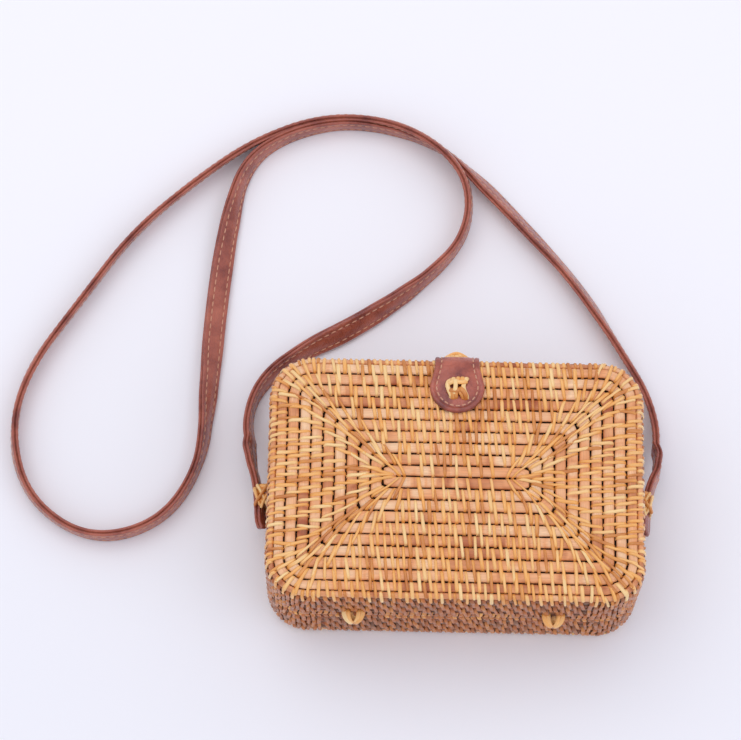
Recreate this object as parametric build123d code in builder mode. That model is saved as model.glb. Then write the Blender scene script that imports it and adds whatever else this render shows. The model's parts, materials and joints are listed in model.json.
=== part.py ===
from build123d import *
import math
import os

# A rattan box bag that opens like a book, lying on its back half. The back face rests on
# the XY plane, +X runs along the bag, +Y from the hinge side to the closure side, +Z up.
# All sizes are millimetres.

# ---- bag ----
bag_width = 190.0
bag_height = 128.0
bag_depth = 70.0
corner_radius = 22.0
face_edge_radius = 6.0
wall = 4.0
seam_gap = 0.6

# ---- lining ----
lining_thickness = 0.8
lining_drop = 2.0

# ---- hinge ties: rattan loops through both walls ----
tie_spacing = 100.0
tie_width = 12.0
tie_thickness = 1.3
tie_clearance = 0.4

# ---- closure tab: two layers of leather tied to the front half ----
tab_length_on_face = 30.6
tab_widest = 27.8
tab_fold_width = 22.6
tab_rear_end = 13.0
tab_leather = 1.5
tab_backing = 1.3
layer_gap = 0.1

# ---- magnetic snap ----
snap_diameter = 10.0
keeper_thickness = 1.5
snap_clearance = 0.2

# ---- rattan knots ----
tab_knot_width = 13.0
tab_knot_length = 12.0
tab_knot_height = 3.6
tab_knot_corner = 3.5
tab_knot_edge = 1.4
front_knot_inset = 17.0
top_knot_height_on_side = 59.0
side_knot_length = 12.0
side_knot_width = 16.0
side_knot_depth = 8.6
side_knot_corner = 3.0
side_knot_edge = 2.0
side_knot_y = 2.0

# ---- shoulder strap ----
strap_core = 6.0
strap_attach_z = 20.0
strap_tail_y = -14.0
strap_clearance = 0.6

clearance = 0.3

# ---- sizes that follow ----
half_depth = (bag_depth - seam_gap) / 2
seam_z = bag_depth / 2
side_y = bag_height / 2
side_x = bag_width / 2
seam_plane = Plane.XY.offset(seam_z)

lining_offset = wall + clearance
lining_depth = half_depth - lining_offset - lining_drop
lining_edge_radius = face_edge_radius - lining_offset

pivot_y = -side_y - clearance
tie_inner = wall + 2 * clearance + layer_gap
tie_outer = tie_inner + tie_thickness
tie_slot_width = tie_width + 2 * tie_clearance

backing_inner = clearance
backing_outer = backing_inner + tab_backing
leather_inner = backing_outer + layer_gap
leather_outer = leather_inner + tab_leather
tab_top = bag_depth + leather_outer
snap_z = tab_rear_end + tab_fold_width / 2

strap_x = side_x + clearance + strap_core / 2

# The strap lies on its edge on the floor. Points from the left knot round both loops to the
# right knot. It rises where it crosses over its own second stretch, which lies lower there.
strap_rest = 6.0
strap_over = 10.4
strap_under = 3.5
strap_route = [
    (-strap_x, strap_tail_y, strap_attach_z),
    (-strap_x, 16, strap_attach_z),
    (-108, 43, 8),
    (-104.5, 68.5, strap_rest),
    (-86, 89, strap_rest),
    (-52, 108, strap_rest),
    (-16, 132, strap_rest),
    (7, 156, 7.0),
    (11, 184, strap_over),
    (-3, 209, strap_over),
    (-33, 225.5, 7.0),
    (-71, 229.5, strap_rest),
    (-107, 214, strap_rest),
    (-140, 189, strap_rest),
    (-174, 155, strap_rest),
    (-200, 113.5, strap_rest),
    (-226, 74, strap_rest),
    (-232, 36, strap_rest),
    (-219, 2, strap_rest),
    (-186, -18, strap_rest),
    (-151, -7, strap_rest),
    (-132, 24, strap_rest),
    (-128.5, 62, strap_rest),
    (-126.5, 112, strap_rest),
    (-121.5, 161, strap_rest),
    (-113, 196, strap_rest),
    (-90, 214, strap_rest),
    (-56, 220, strap_rest),
    (-17, 207, 4.5),
    (9, 188, strap_under),
    (36, 161, 4.5),
    (66, 128, strap_rest),
    (90, 90, strap_rest),
    (103.5, 66, strap_rest),
    (108, 39.5, 8),
    (strap_x, 16, strap_attach_z),
    (strap_x, strap_tail_y, strap_attach_z),
]


def tray(width, height, radius, depth, thickness, edge_radius):
    """Make an open tray on the XY plane, with its floor as thick as its walls."""
    with BuildPart() as body:
        with BuildSketch():
            RectangleRounded(width, height, radius)
        extrude(amount=depth)
        fillet(body.faces().sort_by(Axis.Z)[0].edges(), edge_radius)
        with BuildSketch(Plane.XY.offset(thickness)):
            RectangleRounded(width - 2 * thickness, height - 2 * thickness, radius - thickness)
        extrude(amount=depth - thickness, mode=Mode.SUBTRACT)
        inner_floor = body.faces().filter_by(Axis.Z).sort_by(Axis.Z)[1]
        fillet(inner_floor.edges(), edge_radius - thickness)
    return body.part


def tab_layer(inner, outer):
    """Make one leather layer of the tab, between two distances outside the bag's surface."""
    front_y = side_y - tab_length_on_face
    bend = face_edge_radius
    round_y = front_y + tab_widest / 2
    with BuildPart() as layer:
        with BuildSketch(Plane.YZ):
            with BuildLine():
                top = FilletPolyline(
                    (front_y, bag_depth + outer),
                    (side_y + outer, bag_depth + outer),
                    (side_y + outer, tab_rear_end),
                    radius=bend + outer,
                )
                under = FilletPolyline(
                    (side_y + inner, tab_rear_end),
                    (side_y + inner, bag_depth + inner),
                    (front_y, bag_depth + inner),
                    radius=bend + inner,
                )
                Line(top @ 1, under @ 0)
                Line(under @ 1, top @ 0)
            make_face()
        extrude(amount=tab_widest / 2, both=True)
        with BuildSketch():
            with Locations((0, round_y)):
                Circle(tab_widest / 2)
            with BuildLine():
                Polyline(
                    (-tab_widest / 2, round_y),
                    (tab_widest / 2, round_y),
                    (tab_fold_width / 2, side_y - bend),
                    (tab_fold_width / 2, side_y + 2 * outer),
                    (-tab_fold_width / 2, side_y + 2 * outer),
                    (-tab_fold_width / 2, side_y - bend),
                    close=True,
                )
            make_face()
        extrude(amount=2 * bag_depth, mode=Mode.INTERSECT)
        with BuildSketch(Plane.XZ):
            with Locations((0, snap_z)):
                Circle(tab_fold_width / 2)
            with Locations((0, snap_z)):
                Rectangle(tab_widest, bag_depth, align=(Align.CENTER, Align.MIN))
        extrude(amount=bag_height, both=True, mode=Mode.INTERSECT)
    return layer.part


def corner_radii(points):
    """Give each corner of the route 0.45 of its shorter run over the tangent of half its turn."""
    radii = []
    for before, here, after in zip(points, points[1:], points[2:]):
        run_in = Vector(*here) - Vector(*before)
        run_out = Vector(*after) - Vector(*here)
        turn = math.radians(run_in.get_angle(run_out))
        radii.append(0.45 * min(run_in.length, run_out.length) / math.tan(turn / 2))
    return radii


os.makedirs("parts", exist_ok=True)
pieces = []

# ---- ring-shaped slots, one round each hinge tie, cut from both shells and both linings ----
with BuildPart() as tie_slots:
    for side in (-1, 1):
        slot_start = side * tie_spacing / 2 - tie_slot_width / 2
        with BuildSketch(Plane.YZ.offset(slot_start)):
            with Locations((pivot_y, seam_z)):
                Circle(tie_outer + tie_clearance)
                Circle(tie_inner - tie_clearance, mode=Mode.SUBTRACT)
        extrude(amount=tie_slot_width)

# ---- back half ----
half_tray = tray(bag_width, bag_height, corner_radius, half_depth, wall, face_edge_radius)

with BuildPart() as back_shell:
    add(half_tray)
    add(tie_slots.part, mode=Mode.SUBTRACT)
    with BuildSketch(Plane.XZ.offset(-side_y)):
        with Locations((0, snap_z)):
            Circle(snap_diameter / 2 + snap_clearance)
    extrude(amount=keeper_thickness + snap_clearance, mode=Mode.SUBTRACT)
back_shell.part.label = "back_shell"
pieces.append(back_shell.part)

with BuildPart() as snap_keeper:
    with BuildSketch(Plane.XZ.offset(-side_y)):
        with Locations((0, snap_z)):
            Circle(snap_diameter / 2)
    extrude(amount=keeper_thickness)
snap_keeper.part.label = "snap_keeper"
pieces.append(snap_keeper.part)

half_lining = tray(
    bag_width - 2 * lining_offset,
    bag_height - 2 * lining_offset,
    corner_radius - lining_offset,
    lining_depth,
    lining_thickness,
    lining_edge_radius,
)
half_lining = Pos(0, 0, lining_offset) * half_lining

with BuildPart() as back_lining:
    add(half_lining)
    add(tie_slots.part, mode=Mode.SUBTRACT)
back_lining.part.label = "back_lining"
pieces.append(back_lining.part)

# ---- front half, the lid: the same trays mirrored in the seam ----
front_tray = mirror(half_tray, about=seam_plane)
front_inner = mirror(half_lining, about=seam_plane)

with BuildPart() as front_shell:
    add(front_tray)
    add(tie_slots.part, mode=Mode.SUBTRACT)
front_shell.part.label = "front_shell"
pieces.append(front_shell.part)

with BuildPart() as front_lining:
    add(front_inner)
    add(tie_slots.part, mode=Mode.SUBTRACT)
front_lining.part.label = "front_lining"
pieces.append(front_lining.part)

# ---- hinge ties, rings about the hinge line ----
for side, name in ((-1, "hinge_tie_left"), (1, "hinge_tie_right")):
    with BuildPart() as hinge_tie:
        with BuildSketch(Plane.YZ.offset(side * tie_spacing / 2 - tie_width / 2)):
            with Locations((pivot_y, seam_z)):
                Circle(tie_outer)
                Circle(tie_inner, mode=Mode.SUBTRACT)
        extrude(amount=tie_width)
    hinge_tie.part.label = name
    pieces.append(hinge_tie.part)

# ---- closure tab ----
with BuildPart() as closure_tab:
    add(tab_layer(leather_inner, leather_outer))
closure_tab.part.label = "closure_tab"
pieces.append(closure_tab.part)

with BuildPart() as closure_tab_backing:
    add(tab_layer(backing_inner, backing_outer))
    with BuildSketch(Plane.XZ.offset(-side_y)):
        with Locations((0, snap_z)):
            Circle(snap_diameter / 2 + snap_clearance)
    extrude(amount=-backing_outer - layer_gap / 2, mode=Mode.SUBTRACT)
closure_tab_backing.part.label = "closure_tab_backing"
pieces.append(closure_tab_backing.part)

with BuildPart() as snap_magnet:
    with BuildSketch(Plane.XZ.offset(-side_y - backing_inner)):
        with Locations((0, snap_z)):
            Circle(snap_diameter / 2)
    extrude(amount=-tab_backing)
snap_magnet.part.label = "snap_magnet"
pieces.append(snap_magnet.part)

# ---- knots that tie the tab to the front half ----
front_knot_plane = Plane.XY.offset(tab_top + layer_gap)
with BuildPart() as tab_front_knot:
    with BuildSketch(front_knot_plane):
        with Locations((0, side_y - front_knot_inset)):
            RectangleRounded(tab_knot_width, tab_knot_length, tab_knot_corner)
    extrude(amount=tab_knot_height)
    fillet(tab_front_knot.faces().sort_by(Axis.Z)[-1].edges(), tab_knot_edge)
tab_front_knot.part.label = "tab_front_knot"
pieces.append(tab_front_knot.part)

with BuildPart() as tab_top_knot:
    with BuildSketch(Plane.XZ.offset(-side_y - leather_outer - layer_gap)):
        with Locations((0, top_knot_height_on_side)):
            RectangleRounded(tab_knot_width, tab_knot_length, tab_knot_corner)
    extrude(amount=-tab_knot_height)
    fillet(tab_top_knot.faces().sort_by(Axis.Y)[-1].edges(), tab_knot_edge)
tab_top_knot.part.label = "tab_top_knot"
pieces.append(tab_top_knot.part)

# ---- knots that hold the strap's ends on the back half's sides ----
for side, name in ((-1, "strap_knot_left"), (1, "strap_knot_right")):
    outward = Axis.X if side > 0 else -Axis.X
    with BuildPart() as strap_knot:
        with BuildSketch(Plane.YZ.offset(side * (side_x + clearance))):
            with Locations((side_knot_y, strap_attach_z)):
                RectangleRounded(side_knot_length, side_knot_width, side_knot_corner)
        extrude(amount=side * side_knot_depth)
        fillet(strap_knot.faces().sort_by(outward)[-1].edges(), side_knot_edge)
        with BuildSketch(Plane.XZ):
            with Locations((side * strap_x, strap_attach_z)):
                Circle(strap_core / 2 + strap_clearance)
        extrude(amount=bag_height, both=True, mode=Mode.SUBTRACT)
    strap_knot.part.label = name
    pieces.append(strap_knot.part)

# ---- shoulder strap ----
strap_radii = corner_radii(strap_route)
with BuildPart() as shoulder_strap:
    with BuildLine() as strap_line:
        FilletPolyline(*strap_route, radius=strap_radii)
    with BuildSketch(Plane(origin=strap_line.line @ 0, z_dir=strap_line.line % 0)):
        Circle(strap_core / 2)
    sweep()
shoulder_strap.part.label = "shoulder_strap"
pieces.append(shoulder_strap.part)

strap_length = sum(edge.length for edge in strap_line.edges())
strap_ratio = shoulder_strap.part.volume / (math.pi * strap_core**2 / 4 * strap_length)
print("strap radii", [round(radius, 1) for radius in strap_radii])
print("strap length", round(strap_length, 1), "volume over section times length", round(strap_ratio, 4))

for piece in pieces:
    export_step(piece, f"parts/{piece.label}.step")
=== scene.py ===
import bpy
import json
import math
import random
from mathutils import Matrix, Vector, noise


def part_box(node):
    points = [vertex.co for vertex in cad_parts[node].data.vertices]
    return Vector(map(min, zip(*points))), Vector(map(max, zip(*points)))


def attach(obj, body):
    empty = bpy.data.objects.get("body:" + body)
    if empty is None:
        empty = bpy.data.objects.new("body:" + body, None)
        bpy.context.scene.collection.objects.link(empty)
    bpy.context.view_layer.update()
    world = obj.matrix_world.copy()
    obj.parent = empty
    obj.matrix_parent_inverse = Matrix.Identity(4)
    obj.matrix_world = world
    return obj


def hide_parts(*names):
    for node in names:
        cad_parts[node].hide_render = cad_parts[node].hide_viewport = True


bl_info = {
    "name": "Rattan box bag",
    "version": (1, 0, 0),
    "blender": (4, 5, 0),
    "location": "View3D > Sidebar > Box bag",
    "description": "Models the weave, leather and stage of a rattan box bag around its packed frame",
    "category": "Object",
}

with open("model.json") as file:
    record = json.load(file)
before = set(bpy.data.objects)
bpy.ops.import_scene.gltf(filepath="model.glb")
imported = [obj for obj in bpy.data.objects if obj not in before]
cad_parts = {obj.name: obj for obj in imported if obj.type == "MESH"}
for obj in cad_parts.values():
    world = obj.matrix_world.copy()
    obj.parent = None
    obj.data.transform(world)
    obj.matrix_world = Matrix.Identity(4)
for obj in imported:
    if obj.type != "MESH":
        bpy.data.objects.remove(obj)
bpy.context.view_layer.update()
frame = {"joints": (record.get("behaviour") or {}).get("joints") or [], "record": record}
record = frame["record"]
MM = 0.001

# ---- sizes in millimetres, read from the frame, and the CAD shells' radii and wall ----
shell_high = [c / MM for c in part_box("front_shell")[1]]
back_low, back_high = [[c / MM for c in corner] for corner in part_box("back_shell")]
HALF_WIDTH = shell_high[0]
HALF_HEIGHT = shell_high[1]
DEPTH = shell_high[2]
HALF_DEPTH = back_high[2] - back_low[2]
HINGE = [c / MM for c in frame["joints"][0]["pos_m"]]
CORNER_RADIUS = 22.0
EDGE_RADIUS = 6.0
WALL = 4.0
TINY = 1e-6


# ---- small helpers ----
def to_linear(colour):
    """Turn an sRGB hex value into a linear RGBA colour."""
    channels = [int(colour[i:i + 2], 16) / 255 for i in (1, 3, 5)]
    linear = [c / 12.92 if c <= 0.04045 else ((c + 0.055) / 1.055) ** 2.4 for c in channels]
    return (*linear, 1.0)


def hex_of(colour):
    """Give a colour property back as the hex value that to_linear reads."""
    return "#" + "".join(f"{round(max(0.0, min(1.0, c)) * 255):02x}" for c in colour)


def srgb(colour):
    """Turn a hex value into the 0 to 1 channels that a gamma colour property keeps."""
    return tuple(int(colour[i:i + 2], 16) / 255 for i in (1, 3, 5))


def select_only(*objects):
    """Leave only these objects selected, the last one active."""
    bpy.ops.object.select_all(action="DESELECT")
    for item in objects:
        item.select_set(True)
        bpy.context.view_layer.objects.active = item


def mesh_piece(name, points, faces, uvs=None, tones=None):
    """Make a mesh piece from points in millimetres, smooth, with an optional UV map and tone."""
    mesh = bpy.data.meshes.new(name)
    mesh.from_pydata([[c * MM for c in p] for p in points], [], faces)
    mesh.polygons.foreach_set("use_smooth", [True] * len(mesh.polygons))
    corner_vertices = [0] * len(mesh.loops)
    mesh.loops.foreach_get("vertex_index", corner_vertices)
    if uvs:
        layer = mesh.uv_layers.new(name="surface")
        layer.data.foreach_set("uv", [c for v in corner_vertices for c in uvs[v]])
    if tones:
        tone = mesh.attributes.new("tone", "FLOAT", "POINT")
        tone.data.foreach_set("value", tones)
    mesh.update()
    piece = bpy.data.objects.new(name, mesh)
    bpy.context.scene.collection.objects.link(piece)
    return piece


def finish_piece(piece, body, material, replaced=()):
    """Give a piece its material and its place in the frame."""
    piece.data.materials.clear()
    piece.data.materials.append(material)
    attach(piece, body)
    if replaced:
        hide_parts(*replaced)
    return piece


def node_box(name):
    """A node's lowest and highest corner at rest, in millimetres."""
    return [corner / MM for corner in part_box(name)]


def between_0_and_1(value):
    """Keep a value between 0 and 1."""
    return max(0.0, min(1.0, value))


def fuller(value):
    """Push a sine or cosine outwards, which makes a cane's section fuller than an oval."""
    return math.copysign(abs(value) ** 0.8, value)


def tube_faces(first, rings, sides, closed, turned=False):
    """Faces of a tube, whose rings of points follow one another from the first point."""
    faces = []
    for ring in range(rings if closed else rings - 1):
        for side in range(sides):
            a = first + ring * sides + side
            b = first + ring * sides + (side + 1) % sides
            ahead = ((ring + 1) % rings - ring) * sides
            faces.append((a, a + ahead, b + ahead, b) if turned else (a, b, b + ahead, a + ahead))
    return faces


def merge_points(piece, distance):
    """Merge the points of a piece that lie within a distance, in millimetres."""
    select_only(piece)
    bpy.ops.object.mode_set(mode="EDIT")
    bpy.ops.mesh.select_all(action="SELECT")
    bpy.ops.mesh.remove_doubles(threshold=distance * MM)
    bpy.ops.object.mode_set(mode="OBJECT")


# ---- materials ----
def add_node(tree, kind, settings=None, links=None):
    """Add a node, set its sockets and properties, and link its inputs."""
    node = tree.nodes.new(kind)
    for key, value in (settings or {}).items():
        if isinstance(key, str) and hasattr(node, key):
            setattr(node, key, value)
        else:
            node.inputs[key].default_value = value
    for key, source in (links or {}).items():
        tree.links.new(source, node.inputs[key])
    return node


def new_material(name):
    """Make an empty node material and return it with its tree and its output node."""
    material = bpy.data.materials.new(name)
    material.use_nodes = True
    tree = material.node_tree
    tree.nodes.clear()
    output = tree.nodes.new("ShaderNodeOutputMaterial")
    return material, tree, output


# Darkest rattan colour, where the tone is lowest: painted shade on the narrow sides, and a few old
# browned stretches on the faces
SHADED_AND_AGED_RATTAN = "#8d5f42"
# A fibre's length, in widths
FIBRE_RUN = 60


def rattan_material(name, light, mid, dark, roughness, coat, grain_width, patch_length):
    """Rattan: long fibres along the cane, tone that drifts along it, darker in old patches, and darkest
    where a low tone carries painted shade.
    """
    material, tree, output = new_material(name)
    uv = add_node(tree, "ShaderNodeUVMap", {"uv_map": "surface"})
    tone = add_node(tree, "ShaderNodeAttribute", {"attribute_name": "tone"})
    shift = add_node(tree, "ShaderNodeCombineXYZ", {}, {2: tone.outputs["Fac"]})
    moved = add_node(tree, "ShaderNodeVectorMath", {"operation": "ADD"},
                     {0: uv.outputs["UV"], 1: shift.outputs[0]})
    fibre_scale = 1 / (grain_width * MM)
    stretched = add_node(tree, "ShaderNodeVectorMath",
                         {"operation": "MULTIPLY", 1: (fibre_scale / FIBRE_RUN, fibre_scale, 40.0)},
                         {0: moved.outputs[0]})
    fibre = add_node(tree, "ShaderNodeTexNoise",
                     {"Scale": 1.0, "Detail": 3.0, "Roughness": 0.6}, {"Vector": stretched.outputs[0]})
    drift_place = add_node(tree, "ShaderNodeVectorMath",
                           {"operation": "MULTIPLY", 1: (1 / (patch_length * MM), 90.0, 25.0)},
                           {0: moved.outputs[0]})
    drift = add_node(tree, "ShaderNodeTexNoise",
                     {"Scale": 1.0, "Detail": 2.0}, {"Vector": drift_place.outputs[0]})
    sum_tone = add_node(tree, "ShaderNodeMath", {"operation": "MULTIPLY_ADD", 1: 0.55},
                        {0: tone.outputs["Fac"], 2: drift.outputs["Fac"]})
    ramp = add_node(tree, "ShaderNodeValToRGB", {}, {"Fac": sum_tone.outputs[0]})
    stops = ramp.color_ramp.elements
    stops[0].position, stops[0].color = 0.22, to_linear(SHADED_AND_AGED_RATTAN)
    stops[1].position, stops[1].color = 1.0, to_linear(light)
    for position, colour in ((0.44, dark), (0.72, mid)):
        stops.new(position).color = to_linear(colour)
    fibre_ramp = add_node(tree, "ShaderNodeMapRange",
                          {"From Min": 0.3, "From Max": 0.7, "To Min": 0.80, "To Max": 1.06},
                          {"Value": fibre.outputs["Fac"]})
    shaded = add_node(tree, "ShaderNodeVectorMath", {"operation": "SCALE"},
                      {0: ramp.outputs["Color"], "Scale": fibre_ramp.outputs[0]})
    bump = add_node(tree, "ShaderNodeBump", {"Strength": 0.35, "Distance": 0.12 * MM},
                    {"Height": fibre.outputs["Fac"]})
    rough = add_node(tree, "ShaderNodeMapRange",
                     {"To Min": roughness - 0.07, "To Max": roughness + 0.1},
                     {"Value": fibre.outputs["Fac"]})
    shader = add_node(tree, "ShaderNodeBsdfPrincipled",
                      {"IOR": 1.5, "Coat Weight": coat, "Coat Roughness": 0.22},
                      {"Base Color": shaded.outputs[0], "Normal": bump.outputs[0],
                       "Roughness": rough.outputs[0]})
    tree.links.new(shader.outputs[0], output.inputs[0])
    return material


def leather_material(name, light, mid, dark, grain, roughness, coat):
    """Finished leather: pebbled grain, mottled dye and a cool sheen where it catches the light."""
    material, tree, output = new_material(name)
    place = add_node(tree, "ShaderNodeTexCoord")
    pebble = add_node(tree, "ShaderNodeTexVoronoi",
                      {"Scale": 1 / (grain * MM), "Randomness": 1.0, "feature": "SMOOTH_F1",
                       "Smoothness": 0.6},
                      {"Vector": place.outputs["Object"]})
    crease = add_node(tree, "ShaderNodeTexNoise",
                      {"Scale": 1 / (3.4 * grain * MM), "Detail": 4.0, "Distortion": 1.2},
                      {"Vector": place.outputs["Object"]})
    dye = add_node(tree, "ShaderNodeTexNoise", {"Scale": 1 / (14 * MM), "Detail": 3.0},
                   {"Vector": place.outputs["Object"]})
    mixed = add_node(tree, "ShaderNodeMath", {"operation": "MULTIPLY_ADD", 1: 0.35},
                     {0: crease.outputs["Fac"], 2: dye.outputs["Fac"]})
    ramp = add_node(tree, "ShaderNodeValToRGB", {}, {"Fac": mixed.outputs[0]})
    stops = ramp.color_ramp.elements
    stops[0].position, stops[0].color = 0.45, to_linear(dark)
    stops[1].position, stops[1].color = 0.92, to_linear(light)
    middle = stops.new(0.66)
    middle.color = to_linear(mid)
    height = add_node(tree, "ShaderNodeMath", {"operation": "MULTIPLY_ADD", 1: -0.6},
                      {0: pebble.outputs["Distance"], 2: crease.outputs["Fac"]})
    bump = add_node(tree, "ShaderNodeBump", {"Strength": 0.75, "Distance": 0.5 * MM},
                    {"Height": height.outputs[0]})
    rough = add_node(tree, "ShaderNodeMapRange",
                     {"To Min": roughness - 0.08, "To Max": roughness + 0.12},
                     {"Value": crease.outputs["Fac"]})
    shader = add_node(tree, "ShaderNodeBsdfPrincipled",
                      {"IOR": 1.5, "Coat Weight": coat, "Coat Roughness": 0.2,
                       "Specular Tint": to_linear("#dccdf0"), "Sheen Weight": 0.1,
                       "Sheen Roughness": 0.4, "Sheen Tint": to_linear("#c9b4dc")},
                      {"Base Color": ramp.outputs["Color"], "Normal": bump.outputs[0],
                       "Roughness": rough.outputs[0]})
    tree.links.new(shader.outputs[0], output.inputs[0])
    return material


def cloth_material(name, light, dark, thread, roughness):
    """Plain woven cotton: crossed threads, drawn about six times their real spacing so that they
    show, and slubs."""
    material, tree, output = new_material(name)
    place = add_node(tree, "ShaderNodeTexCoord")
    warp, weft = [
        add_node(tree, "ShaderNodeTexWave",
                 {"Scale": 0.05 / (thread * MM), "Distortion": 0.6, "bands_direction": way},
                 {"Vector": place.outputs["Object"]})
        for way in ("X", "Y")]
    cross = add_node(tree, "ShaderNodeMath", {"operation": "MULTIPLY"},
                     {0: warp.outputs["Fac"], 1: weft.outputs["Fac"]})
    slub = add_node(tree, "ShaderNodeTexNoise", {"Scale": 1 / (9 * MM), "Detail": 4.0},
                    {"Vector": place.outputs["Object"]})
    amount = add_node(tree, "ShaderNodeMath", {"operation": "MULTIPLY"},
                      {0: cross.outputs[0], 1: slub.outputs["Fac"]})
    colour = add_node(tree, "ShaderNodeMix",
                      {"data_type": "RGBA", 6: to_linear(dark), 7: to_linear(light)},
                      {0: amount.outputs[0]})
    bump = add_node(tree, "ShaderNodeBump", {"Strength": 0.3, "Distance": 0.1 * MM},
                    {"Height": cross.outputs[0]})
    shader = add_node(tree, "ShaderNodeBsdfPrincipled", {"Roughness": roughness, "Sheen Weight": 0.2},
                      {"Base Color": colour.outputs[2], "Normal": bump.outputs[0]})
    tree.links.new(shader.outputs[0], output.inputs[0])
    return material


def thread_material(name, light, dark):
    """Waxed thread: a fine uneven twist in a tan cord, drawn 0.35 mm across so that it shows."""
    material, tree, output = new_material(name)
    place = add_node(tree, "ShaderNodeTexCoord")
    twist = add_node(tree, "ShaderNodeTexNoise", {"Scale": 1 / (0.35 * MM), "Detail": 2.0},
                     {"Vector": place.outputs["Object"]})
    colour = add_node(tree, "ShaderNodeMix",
                      {"data_type": "RGBA", 6: to_linear(dark), 7: to_linear(light)},
                      {0: twist.outputs["Fac"]})
    bump = add_node(tree, "ShaderNodeBump", {"Strength": 0.3, "Distance": 0.08 * MM},
                    {"Height": twist.outputs["Fac"]})
    shader = add_node(tree, "ShaderNodeBsdfPrincipled", {"Roughness": 0.55},
                      {"Base Color": colour.outputs[2], "Normal": bump.outputs[0]})
    tree.links.new(shader.outputs[0], output.inputs[0])
    return material


def plated_steel_material(name):
    """Nickel-plated pressed steel: a satin metal with faint tarnish."""
    material, tree, output = new_material(name)
    place = add_node(tree, "ShaderNodeTexCoord")
    tarnish = add_node(tree, "ShaderNodeTexNoise", {"Scale": 1 / (3 * MM), "Detail": 3.0},
                       {"Vector": place.outputs["Object"]})
    colour = add_node(tree, "ShaderNodeMix",
                      {"data_type": "RGBA", 6: to_linear("#a8a39b"), 7: to_linear("#cfccc6")},
                      {0: tarnish.outputs["Fac"]})
    rough = add_node(tree, "ShaderNodeMapRange", {"To Min": 0.25, "To Max": 0.42},
                     {"Value": tarnish.outputs["Fac"]})
    shader = add_node(tree, "ShaderNodeBsdfPrincipled", {"Metallic": 1.0},
                      {"Base Color": colour.outputs[2], "Roughness": rough.outputs[0]})
    tree.links.new(shader.outputs[0], output.inputs[0])
    return material


def paper_material(name, light, dark):
    """Matt studio paper: nearly white, faintly uneven, and a little darker towards the front, where
    painted shade stands in for the light falling off.
    """
    material, tree, output = new_material(name)
    place = add_node(tree, "ShaderNodeTexCoord")
    parts = add_node(tree, "ShaderNodeSeparateXYZ", {}, {0: place.outputs["Object"]})
    cloud = add_node(tree, "ShaderNodeTexNoise", {"Scale": 2.5, "Detail": 2.0},
                     {"Vector": place.outputs["Object"]})
    # painted shade: the paper's colour darkens towards the front, in y, standing in for the light's
    # fall-off
    slope = add_node(tree, "ShaderNodeMapRange",
                     {"From Min": 0.24, "From Max": -0.14, "To Min": -0.2, "To Max": 0.8,
                      "interpolation_type": "SMOOTHSTEP"}, {"Value": parts.outputs["Y"]})
    amount = add_node(tree, "ShaderNodeMath", {"operation": "MULTIPLY_ADD", 1: 0.4, "use_clamp": True},
                      {0: cloud.outputs["Fac"], 2: slope.outputs[0]})
    colour = add_node(tree, "ShaderNodeMix",
                      {"data_type": "RGBA", 6: to_linear(light), 7: to_linear(dark)},
                      {0: amount.outputs[0]})
    shader = add_node(tree, "ShaderNodeBsdfPrincipled",
                      {"Roughness": 0.9, "Specular IOR Level": 0.2}, {"Base Color": colour.outputs[2]})
    tree.links.new(shader.outputs[0], output.inputs[0])
    return material


MATERIALS = {}


def bag_material(key):
    """Make each material once, when a piece first asks for it."""
    if key in MATERIALS:
        return MATERIALS[key]
    look = bpy.context.scene.bag_look
    if key == "rod":
        # peeled rattan core, sanded and left matt: pinkish tan with honey and brown stretches
        made = rattan_material("peeled_rattan_rod", hex_of(look.rod_light), hex_of(look.rod_mid),
                               hex_of(look.rod_dark), 0.5, 0.12, 0.35, 45)
    elif key == "strip":
        # split rattan skin under clear varnish: golden and glossy
        made = rattan_material("varnished_rattan_strip", hex_of(look.strip_light),
                               hex_of(look.strip_mid), hex_of(look.strip_dark), 0.34, 0.35, 0.25, 30)
    elif key == "tab":
        # drum-dyed cowhide with an embossed pebble grain
        made = leather_material("pebbled_leather", "#c0694e", "#984a32", "#6b2e1e", 1.0, 0.32, 0.55)
    elif key == "strap":
        # smooth oiled leather with a fine grain
        made = leather_material("oiled_strap_leather", "#b8694e", "#a0553d", "#7d3b28", 0.75, 0.3, 0.4)
    elif key == "thread":
        # waxed linen thread: pale tan, matt
        made = thread_material("waxed_tan_thread", "#e2ab8c", "#b57a60")
    elif key == "lining":
        # dyed plain-weave cotton: dark brown, quite matt
        made = cloth_material("dark_brown_cotton", "#6e4329", "#3c2213", 0.5, 0.85)
    elif key == "steel":
        # pressed steel under nickel plating: pale grey, satin
        made = plated_steel_material("nickel_plated_steel")
    else:
        raise KeyError(key)
    MATERIALS[key] = made
    return made


# ---- the coil: one surface for every rod and strip ----
# Corner radius of the innermost turns
MIDDLE_CORNER = 3.0
# The woven surface lies this much inside the frame's shell, so that its strips end flush with it
TUCK = 0.9
# Swell of the front face at its middle
CROWN = 0.9
ROD_SIDES = 12
# Length round a rod in its UV map, in metres
ROD_GIRTH = 0.012
# A rod comes no nearer than this to the coil's middle line
ROD_FROM_MIDDLE = 0.02
# Reach past the face's half height where the rods of the narrow sides begin. They are further
# apart, flatter and deeper than those of the faces, and darker by painted shade, as those sides lie in
# shade.
SIDE_RODS_START = 5.0
SIDE_ROD_GAP = 2.1
SIDE_ROD_FLATTER = 0.85
FACE_ROD_SUNK, SIDE_ROD_SUNK = 0.25, 0.75
# painted shade: how much lower the tone of the narrow sides' rods is, standing in for the shade on
# those sides
SIDE_ROD_PAINTED_SHADE = 0.85
# How a rod wanders: how much, and the length in mm over which it does so
ROD_SWAY, ROD_LIFT = (0.22, 21), (0.22, 13)
ROD_WIDENING, ROD_TONE_DRIFT = (0.07, 9), (0.6, 60)


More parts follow.
